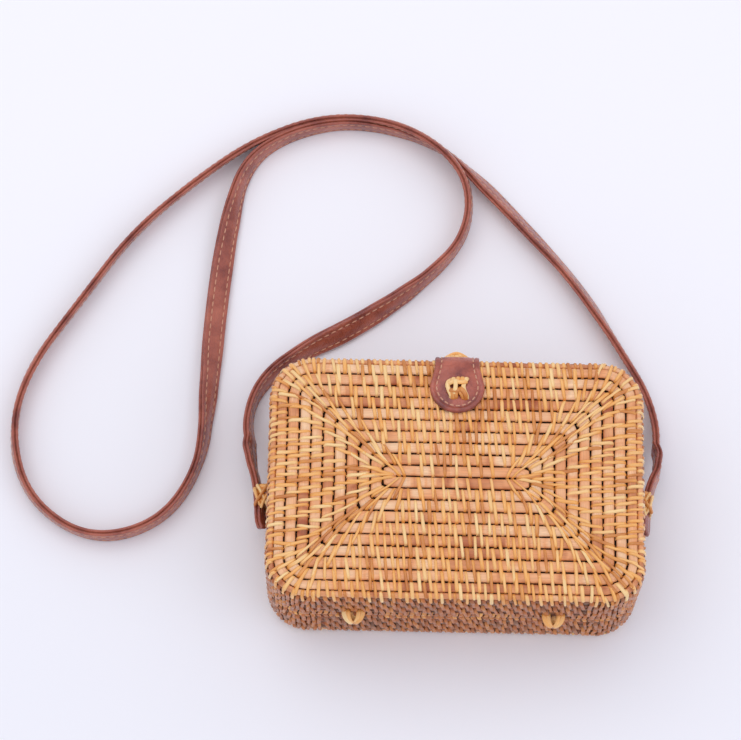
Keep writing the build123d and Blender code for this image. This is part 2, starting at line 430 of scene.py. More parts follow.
def section_at(reach):
    """Plan inset, depth below the face and lean of the outer surface, at a reach in millimetres
    from the coil's middle line over the face, round its edge and down the side."""
    flat = HALF_HEIGHT - EDGE_RADIUS
    if reach <= flat:
        return HALF_HEIGHT - reach, 0.0, 0.0
    lean = (reach - flat) / EDGE_RADIUS
    if lean < math.pi / 2:
        return EDGE_RADIUS * (1 - math.sin(lean)), EDGE_RADIUS * (1 - math.cos(lean)), lean
    return 0.0, EDGE_RADIUS + reach - flat - EDGE_RADIUS * math.pi / 2, math.pi / 2


def full_reach():
    """Reach at the seam."""
    return HALF_HEIGHT - EDGE_RADIUS + EDGE_RADIUS * math.pi / 2 + HALF_DEPTH - EDGE_RADIUS


def turn_at(reach):
    """Half width, half height and corner radius of the coil's turn at a reach."""
    inset, _, _ = section_at(reach)
    half_height = max(HALF_HEIGHT - inset, TINY)
    corner = min(max(CORNER_RADIUS - inset, MIDDLE_CORNER), half_height)
    return HALF_WIDTH - inset, half_height, corner


class Turn:
    """One turn of the coil, between an inner reach and a middle one. Its straight sides keep square
    to the bag, and the corner zones between them fan out, so places on neighbouring turns match."""

    def __init__(self, inner, middle, fan):
        wide, high, corner = turn_at(max(inner, 0.0))
        self.straight_x = max(0.0, wide - corner - fan)
        self.straight_y = max(0.0, high - corner - fan)
        self.quarter = self.straight_x + self.zone(middle) + self.straight_y
        self.zone_length = self.zone(middle)
        self.length = 4 * self.quarter

    def zone(self, reach):
        """Length of a corner zone at a reach."""
        wide, high, corner = turn_at(reach)
        past_straights = (wide - corner - self.straight_x) + math.pi / 2 * corner
        return past_straights + (high - corner - self.straight_y)

    def place(self, reach, along):
        """Plan point and outward direction at a reach, along millimetres round the turn."""
        along = along % self.length
        index = int(along / self.quarter) % 4
        rest = along - index * self.quarter
        if index % 2:
            rest = self.quarter - rest
        sign_x = 1 if index < 2 else -1
        sign_y = 1 if index in (0, 3) else -1
        wide, high, corner = turn_at(reach)
        if rest <= self.straight_x:
            x, y, out_x, out_y = rest, high, 0.0, 1.0
        elif rest >= self.straight_x + self.zone_length:
            x, y, out_x, out_y = wide, self.quarter - rest, 1.0, 0.0
        else:
            share = (rest - self.straight_x) / self.zone_length
            walked = share * self.zone(reach)
            before = wide - corner - self.straight_x
            arc = math.pi / 2 * corner
            if walked <= before:
                x, y, out_x, out_y = self.straight_x + walked, high, 0.0, 1.0
            elif walked <= before + arc:
                angle = (walked - before) / max(corner, TINY)
                out_x, out_y = math.sin(angle), math.cos(angle)
                x = wide - corner + corner * out_x
                y = high - corner + corner * out_y
            else:
                x, y, out_x, out_y = wide, high - corner - (walked - before - arc), 1.0, 0.0
        return sign_x * x, sign_y * y, sign_x * out_x, sign_y * out_y


def crown(x, y):
    """How far the front face stands out at a place: it swells a little towards its middle."""
    across = max(0.0, 1 - (x / HALF_WIDTH) ** 2)
    along = max(0.0, 1 - (y / HALF_HEIGHT) ** 2)
    return CROWN * across * along ** 2


def on_surface(turn, reach, along, height, front):
    """Point in the frame, height millimetres outside the half's surface."""
    x, y, out_x, out_y = turn.place(reach, along)
    _, depth, lean = section_at(reach)
    height -= TUCK
    slope = math.sin(lean) * height
    rise = math.cos(lean) * (height + (crown(x, y) if front else 0.0)) - depth
    z = DEPTH + rise if front else -rise
    return x + slope * out_x, y + slope * out_y, z


def wobble(along, row, seed, amount, length):
    """A smooth uneven value, up to about an amount either way, that changes over a length."""
    return amount * noise.noise(Vector((along / length, row * 5.37 + 0.5, seed)))


def coil_rows(weave):
    """Number of turns in one half's coil, and the distance from turn to turn."""
    rows = round(full_reach() / weave.rod_pitch)
    return rows, full_reach() / rows


def coil_rods(front, seed):
    """Points, faces, UVs and tones of all the rods of one half."""
    weave = bpy.context.scene.bag_weave
    rows, pitch = coil_rows(weave)
    points, faces, uvs, tones = [], [], [], []
    draw = random.Random(seed)
    for row in range(rows):
        centre = (row + 0.5) * pitch
        on_side = centre > HALF_HEIGHT + SIDE_RODS_START
        half_wide = pitch / 2 - (SIDE_ROD_GAP if on_side else weave.rod_gap) / 2
        thick = weave.rod_thickness / 2 * (SIDE_ROD_FLATTER if on_side else 1.0)
        sunk = SIDE_ROD_SUNK if on_side else FACE_ROD_SUNK
        turn = Turn(centre - pitch / 2, centre, weave.corner_fan)
        count = max(24, round(turn.length / weave.rod_step))
        # painted shade: rows on the narrow sides get a lower tone
        row_tone = draw.uniform(-0.12, 0.12) - (SIDE_ROD_PAINTED_SHADE if on_side else 0.0)
        first = len(points)
        for step in range(count):
            along = turn.length * step / count
            sway = wobble(along, row, seed, *ROD_SWAY)
            lift = wobble(along, row, seed + 3.3, *ROD_LIFT)
            width = half_wide * (1 + wobble(along, row, seed + 7.7, *ROD_WIDENING))
            tone = 0.5 + row_tone + wobble(along, row * 0.23, seed + 11, *ROD_TONE_DRIFT)
            for side in range(ROD_SIDES):
                angle = 2 * math.pi * side / ROD_SIDES
                across = width * fuller(math.cos(angle))
                height = thick * fuller(math.sin(angle)) - thick - sunk + lift
                reach = max(centre + sway + across, ROD_FROM_MIDDLE)
                points.append(on_surface(turn, reach, along, height, front))
                uvs.append((along * MM, side / ROD_SIDES * ROD_GIRTH))
                tones.append(tone)
        faces += tube_faces(first, count, ROD_SIDES, closed=True, turned=front)
    return points, faces, uvs, tones


# How a strip lies over its two rods: share of its span, and height over the surface in mm
STRIP_PROFILE = ((0.0, -2.1), (0.04, -0.9), (0.1, 0.05), (0.22, 0.55), (0.36, 0.4), (0.5, 0.12),
                 (0.64, 0.4), (0.78, 0.55), (0.9, 0.05), (0.96, -0.9), (1.0, -2.1))
# A strip's section: share of its width, and of its thickness below its top
STRIP_SECTION = ((-0.5, 1.0), (-0.33, 0.2), (0.0, 0.0), (0.33, 0.2), (0.5, 1.0))
# Strips in a corner zone stand closer by this share, and are drawn less unevenly
CORNER_CLOSER = 0.85
CORNER_EVENNESS = 0.6
# Reach past the face's half height where the strips of the narrow sides begin
SIDE_STRIPS_START_FRONT = 3.0
SIDE_STRIPS_START_BACK = 2.0
SIDE_STRIP_WIDER = 1.2
# A strip starts no nearer than this to the coil's middle line
STRIP_FROM_MIDDLE = 0.05
# Way along a turn that gives a strip's sideways direction
LOOK_AHEAD = 0.4


def add_ribbon(store, centres, sideways, normals, width, thickness, tone, flip):
    """Add one flat strip to the store: a crowned top and two skirts."""
    points, faces, uvs, tones = store
    first = len(points)
    columns = len(STRIP_SECTION)
    travelled = 0.0
    for index, centre in enumerate(centres):
        if index:
            travelled += (centre - centres[index - 1]).length
        side, normal = sideways[index], normals[index]
        for share, drop in STRIP_SECTION:
            points.append(tuple(centre + side * (width * share) - normal * (drop * thickness)))
            uvs.append((travelled * MM, (share + 0.5) * width * MM))
            tones.append(tone)
    for index in range(len(centres) - 1):
        for column in range(columns - 1):
            a = first + index * columns + column
            quad = (a, a + 1, a + columns + 1, a + columns)
            faces.append(tuple(reversed(quad)) if flip else quad)


def strip_places(turn, spacing, stagger, draw):
    """Places along a turn for its strips, each with 1.0 in a corner zone and 0.0 elsewhere."""
    places = []
    for quadrant in range(4):
        rests = []
        for long, from_far_end in ((turn.straight_x, False), (turn.straight_y, True)):
            count = max(1, round(long / spacing))
            # two quadrants meet at the middle of each side, and only one of them has its strip there
            shared = quadrant in ((1, 2) if from_far_end else (1, 3))
            for index in range(count):
                if index == 0 and stagger == 0 and shared:
                    continue
                rest = long * (index + stagger) / count
                rests.append((turn.quarter - rest if from_far_end else rest, 0.0))
        count = max(3, round(turn.zone_length / spacing / CORNER_CLOSER))
        for index in range(count):
            share = (index + (0.25 if stagger else 0.75)) / count
            rests.append((turn.straight_x + share * turn.zone_length, 1.0))
        for rest, corner in rests:
            rest += draw.uniform(-0.45, 0.45) * (CORNER_EVENNESS if corner else 1.0)
            along = quadrant * turn.quarter + (rest if quadrant % 2 == 0 else turn.quarter - rest)
            places.append((along, corner))
    return places


def coil_strips(front, seed):
    """Points, faces, UVs and tones of all the strips that bind one half's rods in pairs."""
    weave = bpy.context.scene.bag_weave
    rows, pitch = coil_rows(weave)
    store = ([], [], [], [])
    draw = random.Random(seed)
    for row in range(rows - 1):
        low = row * pitch
        middle = low + pitch
        on_side = middle > HALF_HEIGHT + (SIDE_STRIPS_START_FRONT if front else SIDE_STRIPS_START_BACK)
        spacing = weave.side_spacing if on_side else weave.strip_spacing
        slant = -weave.side_slant if on_side else -weave.strip_slant
        if on_side and not front:
            slant = -slant
        turn = Turn(low, middle, weave.corner_fan)
        for along, corner in strip_places(turn, spacing, 0.5 * (row % 2), draw):
            lean = slant * (1 - corner) + draw.uniform(-0.06, 0.06) * (1 + 2 * corner)
            tone = draw.uniform(-0.28, 0.3)
            # painted shade: strips on the narrow sides get a lower tone, as those sides lie in shade,
            # and are more alike
            tone = 0.4 * tone - 0.14 if on_side else 0.5 + tone
            width = weave.strip_width * draw.uniform(0.8, 1.15) * (SIDE_STRIP_WIDER if on_side else 1.0)
            lift = draw.uniform(-0.05, 0.08) + 0.18 * corner
            centres, sideways, normals = [], [], []
            for share, height in STRIP_PROFILE:
                reach = max(low + share * 2 * pitch, STRIP_FROM_MIDDLE)
                here = along + lean * (reach - middle)
                point = Vector(on_surface(turn, reach, here, height + lift, front))
                ahead = Vector(on_surface(turn, reach, here + LOOK_AHEAD, height + lift, front))
                outer = Vector(on_surface(turn, reach, here, height + lift + 1, front))
                centres.append(point)
                sideways.append((ahead - point).normalized())
                normals.append((outer - point).normalized())
            add_ribbon(store, centres, sideways, normals, width, weave.strip_thickness, tone, not front)
    return store


# ---- the rim ----
# Reach before the seam where the rim's own turn starts
RIM_TURN = 6.0
# How a strip whips the rim: reach past the seam, and height over the surface, from outside to inside
RIM_WRAP = ((-4.6, -1.0), (-3.2, 0.08), (-1.3, 0.1), (-0.35, -0.55), (-0.12, -2.2), (-0.2, -4.2),
            (-0.9, -5.3), (-2.4, -5.6), (-3.6, -5.1))
# Its sideways step from each of these points to the next
RIM_SLANT = 0.3
RIM_STRIP_WIDTH = 2.2
RIM_STRIP_THICKNESS = 0.3
# Half the width that the strips leave free for a hinge tie, on the hinge side only
TIE_ROOM = 7.5
HINGE_SIDE_Y = 2 - HALF_HEIGHT
# The rod inside the rim: below the seam, and inside the surface
RIM_ROD_RADIUS = 1.05
RIM_ROD_BELOW = 1.6
RIM_ROD_INSIDE = 4.2
RIM_ROD_STEP = 4.0
RIM_ROD_SIDES = 8
RIM_ROD_GIRTH = 0.006
RIM_ROD_TONE = 0.45


def rim_strips(front, seed):
    """Points, faces, UVs and tones of the strips that whip the rim: over the last rod, across the
    seam face and inside. They leave room for the hinge ties to turn in."""
    weave = bpy.context.scene.bag_weave
    store = ([], [], [], [])
    ties = []
    for name in ("hinge_tie_left", "hinge_tie_right"):
        low, high = node_box(name)
        ties.append((low.x + high.x) / 2)
    draw = random.Random(seed)
    reach = full_reach()
    turn = Turn(reach - RIM_TURN, reach, 0.0)
    count = round(turn.length / (weave.strip_spacing / 2))
    last = len(RIM_WRAP) - 1
    for index in range(count):
        along = turn.length * (index + draw.uniform(-0.1, 0.1)) / count
        # painted shade: the rim's strips get a lower tone than the faces' strips, as the rim lies on
        # the shaded narrow sides
        tone = draw.uniform(-0.2, 0.2)
        x, y, _, _ = turn.place(reach, along)
        if y < HINGE_SIDE_Y and min(abs(x - tie) for tie in ties) < TIE_ROOM:
            continue
        centres = [Vector(on_surface(turn, reach + past, along + RIM_SLANT * step, height, front))
                   for step, (past, height) in enumerate(RIM_WRAP)]
        sideways, normals = [], []
        for step in range(last + 1):
            here = along + RIM_SLANT * step
            x, y, out_x, out_y = turn.place(reach, here)
            ahead = turn.place(reach, here + LOOK_AHEAD)
            side = Vector((ahead[0] - x, ahead[1] - y, 0)).normalized()
            run = centres[min(step + 1, last)] - centres[max(step - 1, 0)]
            normal = side.cross(run).normalized()
            if step == 0:
                # the strip starts outside, so its first normal says which way all of them face
                facing = 1 if normal.dot(Vector((out_x, out_y, 0))) > 0 else -1
            sideways.append(side)
            normals.append(normal * facing)
        add_ribbon(store, centres, sideways, normals, RIM_STRIP_WIDTH, RIM_STRIP_THICKNESS, tone,
                   not front)
    return store


def rim_rod(front):
    """Points, faces, UVs and tones of the thin rod inside the rim, over the lining's edge."""
    reach = full_reach()
    turn = Turn(reach - RIM_TURN, reach, 0.0)
    count = round(turn.length / RIM_ROD_STEP)
    points, uvs, tones = [], [], []
    for step in range(count):
        along = turn.length * step / count
        for side in range(RIM_ROD_SIDES):
            angle = 2 * math.pi * side / RIM_ROD_SIDES
            points.append(on_surface(turn, reach - RIM_ROD_BELOW + RIM_ROD_RADIUS * math.cos(angle),
                                     along, -RIM_ROD_INSIDE + RIM_ROD_RADIUS * math.sin(angle), front))
            uvs.append((along * MM, side / RIM_ROD_SIDES * RIM_ROD_GIRTH))
            tones.append(RIM_ROD_TONE)
    faces = tube_faces(0, count, RIM_ROD_SIDES, closed=True, turned=front)
    return points, faces, uvs, tones


# ---- the strap ----
STRAP_X = 98.3
STRAP_REST = 6.0
STRAP_UNDER = 3.5
STRAP_ROUTE = (
    (-STRAP_X, -14, 20), (-STRAP_X, 16, 20), (-109, 43, 8), (-104, 67.5, STRAP_REST),
    (-84, 86.5, STRAP_REST), (-50, 104.6, STRAP_REST), (-15, 130.5, STRAP_REST), (6.5, 156, 7),
    (8, 185, 11), (-7, 205, 14.5), (-34, 222.3, 9.5), (-71, 226.4, STRAP_REST),
    (-108, 211.5, STRAP_REST), (-139, 187.6, STRAP_REST), (-173.5, 154.5, STRAP_REST),
    (-200, 113.5, STRAP_REST), (-226, 74, STRAP_REST), (-232, 36, STRAP_REST),
    (-219.5, 1.7, STRAP_REST), (-186.5, -19, STRAP_REST), (-150.5, -8.2, STRAP_REST),
    (-131.4, 23.5, STRAP_REST), (-129.2, 62, STRAP_REST), (-127, 112, STRAP_REST),
    (-122, 161, STRAP_REST), (-114, 197, STRAP_REST), (-90.5, 215.5, STRAP_REST),
    (-55, 223.6, STRAP_REST), (-13.5, 213, 5), (11.8, 190.8, STRAP_UNDER), (37.5, 162.5, 4.5),
    (66.7, 128.8, STRAP_REST), (90, 90, STRAP_REST), (103.5, 66, STRAP_REST), (108, 39.5, 8),
    (STRAP_X, 16, 20), (STRAP_X, -14, 20),
)

# How much of its face the strap turns to somebody in front: share of its length, and the sine of
# the angle between its face and their line of sight, negative where it leans the other way
STRAP_SHOWS = ((0.0, 0.3), (0.012, 0.14), (0.03, 0.1), (0.05, 0.14), (0.08, 0.55), (0.105, 0.85),
               (0.12, 0.78), (0.135, 0.6), (0.15, 0.36), (0.17, 0.2), (0.19, 0.12), (0.25, 0.08),
               (0.31, 0.05), (0.37, 0.02), (0.41, 0.04), (0.435, 0.14), (0.455, 0.1), (0.475, 0.22),
               (0.51, 0.22), (0.53, 0.3), (0.55, 0.24), (0.575, 0.2), (0.59, 0.32), (0.61, 0.62),
               (0.63, 0.8), (0.66, 0.82), (0.68, 0.7), (0.7, 0.45), (0.73, 0.3), (0.755, 0.24),
               (0.775, 0.2), (0.79, 0.1), (0.805, -0.12), (0.825, -0.38), (0.85, -0.34), (0.87, -0.24),
               (0.89, -0.24), (0.91, -0.1), (0.95, -0.08), (0.97, -0.14), (1.0, -0.3))
LINE_OF_SIGHT = Vector((0, -0.342, 0.94))
# It settles fully on the floor where its line is no higher than STRAP_REST, and not at all where it
# is higher than that by this much. Its clearance there follows.
SETTLE_RUN = 5.0
FLOOR_CLEAR = 0.05
# Beside the bag: from this y down, over this run, and within this reach, it draws in to the wall
WALL_FROM_Y = 36.0
WALL_RUN = 16.0
WALL_REACH = 16.0
# and it is pressed this far in between the wall's strips
WALL_PRESS = 0.4
# Least share of its width at its rounded ends
STRAP_END_SHARE = 0.25


def share_value(table, share):
    """Read a value between the rows of a table of shares and values, eased at each row."""
    for (low, before), (high, after) in zip(table, table[1:]):
        if share <= high:
            part = max(0.0, (share - low) / (high - low))
            part = part * part * (3 - 2 * part)
            return before + (after - before) * part
    return table[-1][1]


def spline_points():
    """The strap's centre line, read from the NURBS spline through its route, in metres."""
    curve = bpy.data.curves.new("strap_route", "CURVE")
    curve.dimensions = "3D"
    spline = curve.splines.new("NURBS")
    spline.points.add(len(STRAP_ROUTE) - 1)
    for point, place in zip(spline.points, STRAP_ROUTE):
        point.co = (*[c * MM for c in place], 1.0)
    spline.order_u = 3
    spline.use_endpoint_u = True
    spline.resolution_u = 12
    holder = bpy.data.objects.new("strap_route", curve)
    bpy.context.scene.collection.objects.link(holder)
    bpy.context.view_layer.update()
    line = bpy.data.meshes.new_from_object(holder)
    points = [vertex.co.copy() for vertex in line.vertices]
    bpy.data.objects.remove(holder)
    bpy.data.curves.remove(curve)
    bpy.data.meshes.remove(line)
    return points


def even_line(points, step):
    """Walk a line of points at an even step."""
    lengths = [0.0]
    for before, after in zip(points, points[1:]):
        lengths.append(lengths[-1] + (after - before).length)
    count = round(lengths[-1] / step)
    walked, index = [], 0
    for number in range(count + 1):
        target = lengths[-1] * number / count
        while index < len(lengths) - 2 and lengths[index + 1] < target:
            index += 1
        part = (target - lengths[index]) / max(lengths[index + 1] - lengths[index], TINY)
        walked.append(points[index].lerp(points[index + 1], part))
    return walked


def strap_frames(line, width, thickness):
    """Centre, across and face direction of the strap at each point of its line, in millimetres."""
    frames = []
    up = Vector((0, 0, 1))
    count = len(line) - 1
    for index, point in enumerate(line):
        run = line[min(index + 1, count)] - line[max(index - 1, 0)]
        run.normalize()
        share = index / count
        level = run.cross(up).normalized()
        upright = level.cross(run).normalized()
        side_sight, up_sight = level.dot(LINE_OF_SIGHT), upright.dot(LINE_OF_SIGHT)
        whole = math.hypot(side_sight, up_sight)
        lean = math.acos(share_value(STRAP_SHOWS, share) / whole) - math.atan2(up_sight, side_sight)
        across = upright * math.cos(lean) + level * math.sin(lean)
        face = level * math.cos(lean) - upright * math.sin(lean)
        centre = point / MM
        # where it lies low it settles until its lower edge meets the floor
        stand = width / 2 * abs(math.cos(lean)) + thickness / 2 * abs(math.sin(lean))
        centre.z -= (width / 2 - stand) * between_0_and_1(1 - (centre.z - STRAP_REST) / SETTLE_RUN)
        centre.z = max(centre.z, stand + FLOOR_CLEAR)
        # beside the bag it draws in until it lies against the wall
        wall_gap = HALF_WIDTH - WALL_PRESS + width / 2 * abs(across.x) + thickness / 2 * abs(face.x)
        close = between_0_and_1((WALL_FROM_Y - point.y / MM) / WALL_RUN)
        if HALF_WIDTH < abs(centre.x) < HALF_WIDTH + WALL_REACH and close:
            centre.x += math.copysign(wall_gap - abs(centre.x), centre.x) * close
        frames.append((centre, across, face))
    return frames


def strap_section(width, thickness):
    """Outline of the strap's cross-section: two pressed layers with a groove between their edges."""
    half, deep = width / 2, thickness / 2
    edge = ((half - 0.6, deep), (half - 0.18, deep - 0.2), (half, deep - 0.65), (half - 0.1, 0.5),
            (half - 0.8, 0.22))
    outline = [(-half + 1.4, 0.0)]
    outline += [(-x, y) for x, y in reversed(edge)]
    outline += [(-half + 2.0, deep + 0.02), (-half + 2.5, deep - 0.2), (-half + 3.0, deep + 0.05),
                (0.0, deep + 0.2), (half - 3.0, deep + 0.05), (half - 2.5, deep - 0.2),
                (half - 2.0, deep + 0.02)]
    outline += list(edge)
    outline += [(half - 1.4, 0.0)]
    return outline + [(x, -y) for x, y in reversed(outline[1:-1])]


def strap_body():
    """The strap itself: its section carried along the line, with rounded ends. Also gives its
    frames, which the stitching follows."""
    look = bpy.context.scene.bag_strap
    width, thickness = look.width, look.thickness
    line = even_line(spline_points(), look.step * MM)
    frames = strap_frames(line, width, thickness)
    outline = strap_section(width, thickness)
    points = []
    total = len(frames) - 1
    for index, (centre, across, face) in enumerate(frames):
        from_end = min(index, total - index) * look.step
        reach = width / 2
        narrow = 1.0
        if from_end < reach:
            narrow = max(STRAP_END_SHARE, math.sqrt(max(0.0, 1 - ((reach - from_end) / reach) ** 2)))
        for x, y in outline:
            points.append(tuple(centre + across * (x * narrow) + face * y))
    sides = len(outline)
    faces = tube_faces(0, total + 1, sides, closed=False)
    faces.append(tuple(reversed(range(sides))))
    faces.append(tuple(range(total * sides, (total + 1) * sides)))
    return mesh_piece("shoulder_strap_leather", points, faces), frames


# A stitch's stations: share of its length, of its width and of its height
STITCH_STATIONS = ((-0.5, 0.35, -0.25), (-0.3, 0.9, 0.75), (0.0, 1.0, 1.0), (0.3, 0.9, 0.75),
                   (0.5, 0.35, -0.25))
# Its section: share of its width and of its height
STITCH_SECTION = ((-0.5, -0.4), (-0.25, 0.8), (0.25, 0.8), (0.5, -0.4))
# Share of the pitch that a stitch covers, its width and its height over the leather
STRAP_STITCH_SHARE, STRAP_STITCH_WIDTH, STRAP_STITCH_RISE = 0.72, 0.75, 0.34
TAB_STITCH_SHARE, TAB_STITCH_WIDTH, TAB_STITCH_RISE = 0.76, 0.85, 0.42


def add_stitch(store, centre, run, across, normal, length, width, rise):
    """Add one thread stitch: a short rounded ridge of four faces along and three across."""
    points, faces = store
    first = len(points)
    columns = len(STITCH_SECTION)
    for along, wide, high in STITCH_STATIONS:
        for share, lift in STITCH_SECTION:
            points.append(tuple(centre + run * (along * length) + across * (share * width * wide)
                                + normal * (rise * high * lift)))
    for step in range(len(STITCH_STATIONS) - 1):
        for column in range(columns - 1):
            a = first + step * columns + column
            faces.append((a, a + columns, a + columns + 1, a + 1))


def strap_stitching(frames):
    """A row of stitches along each edge, on both sides of the strap."""
    look = bpy.context.scene.bag_strap
    store = ([], [])
    every = max(1, round(look.stitch_pitch / look.step))
    above = look.thickness / 2 + 0.02
    row = look.width / 2 - look.stitch_inset
    total = len(frames) - 1
    for index in range(2 * every, total - 2 * every, every):
        centre, across, face = frames[index]
        run = (frames[index + 1][0] - frames[index - 1][0]).normalized()
        for edge in (-1, 1):
            for side in (-1, 1):
                place = centre + across * (edge * row) + face * (side * above)
                add_stitch(store, place, run, across * side, face * side,
                           look.stitch_pitch * STRAP_STITCH_SHARE, STRAP_STITCH_WIDTH,
                           STRAP_STITCH_RISE)
    return mesh_piece("shoulder_strap_stitching", *store)


# ---- the closure tab ----
# Heights of its layers over the bag's surface, lower and upper side, and how much smaller the top is
UNDER_LAYER = (-0.9, -0.3)
TOP_LAYER = (-0.25, 0.7)
TOP_LAYER_MARGIN = 0.15
# The tab lies closest at the middle of the bend, and stands off by this much more beyond this run
TAB_SLACK = 1.05
TAB_SLACK_RUN = 12.0
# Ways in from its edge where its surface gets a row of points: close at the edge and at the groove
TAB_EDGE_INSETS = (0.0, 0.12, 0.5, 0.9, 1.4, 1.9, 2.3, 2.6, 2.9, 3.4, 4.0, 4.7, 6.0, 8.5, 11.0)
TAB_GROOVE_INSET = 2.6
TAB_STITCH_INSET = 3.35
TAB_UNDER_INSETS = (0.0, 3.0)
# Points round each of its ends, and the spacing of those along its sides
TAB_ROUND_STEPS = 20
TAB_SPACING = 2.0


def fold_place(x, walked, height, tab):
    """Bend the flat tab over the bag's edge, tightest at the bend: walked is the way from its tip."""
    face_run = tab.length_on_face - EDGE_RADIUS
    bend = EDGE_RADIUS * math.pi / 2
    height += TAB_SLACK * min(1.0, abs(walked - face_run - bend / 2) / TAB_SLACK_RUN)
    if walked < face_run:
        y = HALF_HEIGHT - tab.length_on_face + walked
        return Vector((x, y, DEPTH + height))
    if walked < face_run + bend:
        angle = (walked - face_run) / EDGE_RADIUS
        radius = EDGE_RADIUS + height
        return Vector((x, HALF_HEIGHT - EDGE_RADIUS + radius * math.sin(angle),
                       DEPTH - EDGE_RADIUS + radius * math.cos(angle)))
    down = walked - face_run - bend
    return Vector((x, HALF_HEIGHT + height, DEPTH - EDGE_RADIUS - down))


def tab_outline(tab, inset, spacing):
    """Points of the flat tab's outline at an inset: round front tip, tapering sides, round rear."""
    front = tab.widest / 2
    rear = tab.fold_width / 2
    face_run = tab.length_on_face - EDGE_RADIUS
    bend = EDGE_RADIUS * math.pi / 2
    length = face_run + bend + DEPTH - EDGE_RADIUS - tab.rear_end
    angles = [math.pi * step / TAB_ROUND_STEPS for step in range(TAB_ROUND_STEPS + 1)]
    stations = round((length - front - rear) / spacing)
    side = []
    for step in range(1, stations):
        walked = front + (length - front - rear) * step / stations
        taper = min(1.0, (walked - front) / (face_run - front))
        wide = front + (rear - front) * taper
        side.append((max(wide - inset, 0.0), walked))
    radius = max(front - inset, 0.0)
    outline = [(-radius * math.cos(angle), front - radius * math.sin(angle)) for angle in angles]
    outline += side
    radius = max(rear - inset, 0.0)
    outline += [(radius * math.cos(angle), length - rear + radius * math.sin(angle))
                for angle in angles]
    return outline + [(-wide, walked) for wide, walked in reversed(side)]


def tab_height(inset, low, high, groove):
    """Height of a layer's upper surface at an inset from its edge: a rounded shoulder and, where
    it is grooved, a lip, the stitching's groove and a padded middle."""
    soft = min(1.0, inset / 0.9)
    shoulder = math.sqrt(max(0.0, 1 - (1 - soft) ** 2))
    height = low + (high - low) * (0.35 + 0.65 * shoulder)
    if groove:
        height += 0.12 * math.exp(-((inset - TAB_GROOVE_INSET / 2) / 0.8) ** 2)
        height -= 0.35 * math.exp(-((inset - TAB_GROOVE_INSET) / 0.4) ** 2)
        height += 0.35 * (1 - math.exp(-max(0.0, inset - 3.8) / 2.5))
    return height


def tab_sheet(name, low, high, groove, margin):
    """One leather layer of the tab, as a closed mesh."""
    tab = bpy.context.scene.bag_tab
    centre_line = tab.widest / 2 + 1
    points, faces = [], []

    def add_ring(inset, on_top):
        ring = []
        for x, walked in tab_outline(tab, inset, TAB_SPACING):
            height = low
            if on_top:
                height = tab_height(inset - margin, low, high, groove)
                height += 0.06 * noise.noise(Vector((x * 0.35, walked * 0.35, 4.0)))
            ring.append(len(points))
            points.append(tuple(fold_place(x, walked, height, tab)))
        return ring

    insets = [margin + inset for inset in TAB_EDGE_INSETS] + [centre_line]
    upper = [add_ring(inset, True) for inset in insets]
    insets = [margin + inset for inset in TAB_UNDER_INSETS] + [centre_line]
    under = [add_ring(inset, False) for inset in insets]
    joins = [(outer, inner, False) for outer, inner in zip(upper, upper[1:])]
    joins.append((upper[0], under[0], True))
    joins += [(outer, inner, True) for outer, inner in zip(under, under[1:])]
    for outer, inner, flip in joins:
        count = len(outer)
        for step in range(count):
            after = (step + 1) % count
            quad = (outer[step], outer[after], inner[after], inner[step])
            faces.append(tuple(reversed(quad)) if flip else quad)
    piece = mesh_piece(name, points, faces)
    merge_points(piece, 0.02)
    bpy.ops.object.mode_set(mode="EDIT")
    bpy.ops.mesh.dissolve_degenerate(threshold=0.01 * MM)
    bpy.ops.mesh.select_all(action="SELECT")
    bpy.ops.mesh.normals_make_consistent(inside=False)
    bpy.ops.object.mode_set(mode="OBJECT")
    return piece


def tab_stitching(high):
    """Stitches round the tab, just inside its groove."""
    tab = bpy.context.scene.bag_tab
    outline = [Vector((x, walked, 0)) for x, walked in tab_outline(tab, TAB_STITCH_INSET, 1.0)]
    outline.append(outline[0].copy())
    walked = even_line(outline, tab.stitch_pitch)
    store = ([], [])
    level = high - 0.06
    for before, after in zip(walked, walked[1:]):
        middle = before.lerp(after, 0.5)
        centre = fold_place(middle.x, middle.y, level, tab)
        start = fold_place(before.x, before.y, level, tab)
        end = fold_place(after.x, after.y, level, tab)
        outer = fold_place(middle.x, middle.y, high + 1, tab)
        run = (end - start).normalized()
        normal = (outer - centre).normalized()
        add_stitch(store, centre, run, normal.cross(run), normal, tab.stitch_pitch * TAB_STITCH_SHARE,
                   TAB_STITCH_WIDTH, TAB_STITCH_RISE)
    return mesh_piece("closure_tab_stitching", *store)


# ---- knots and ties: strands of split rattan ----
STRAND_SIDES = 10
# Length round a strand in its UV map, in metres
STRAND_GIRTH = 0.005


def strand_curve(points, steps):
    """A smooth line through given points."""
    line = []
    for index in range(len(points) - 1):
        before = points[max(index - 1, 0)]
        start, end = points[index], points[index + 1]
        after = points[min(index + 2, len(points) - 1)]
        for step in range(steps):
            t = step / steps
            line.append(0.5 * ((2 * start) + (end - before) * t
                        + (2 * before - 5 * start + 4 * end - after) * t * t
                        + (3 * start - before - 3 * end + after) * t ** 3))
    line.append(points[-1].copy())
    return line


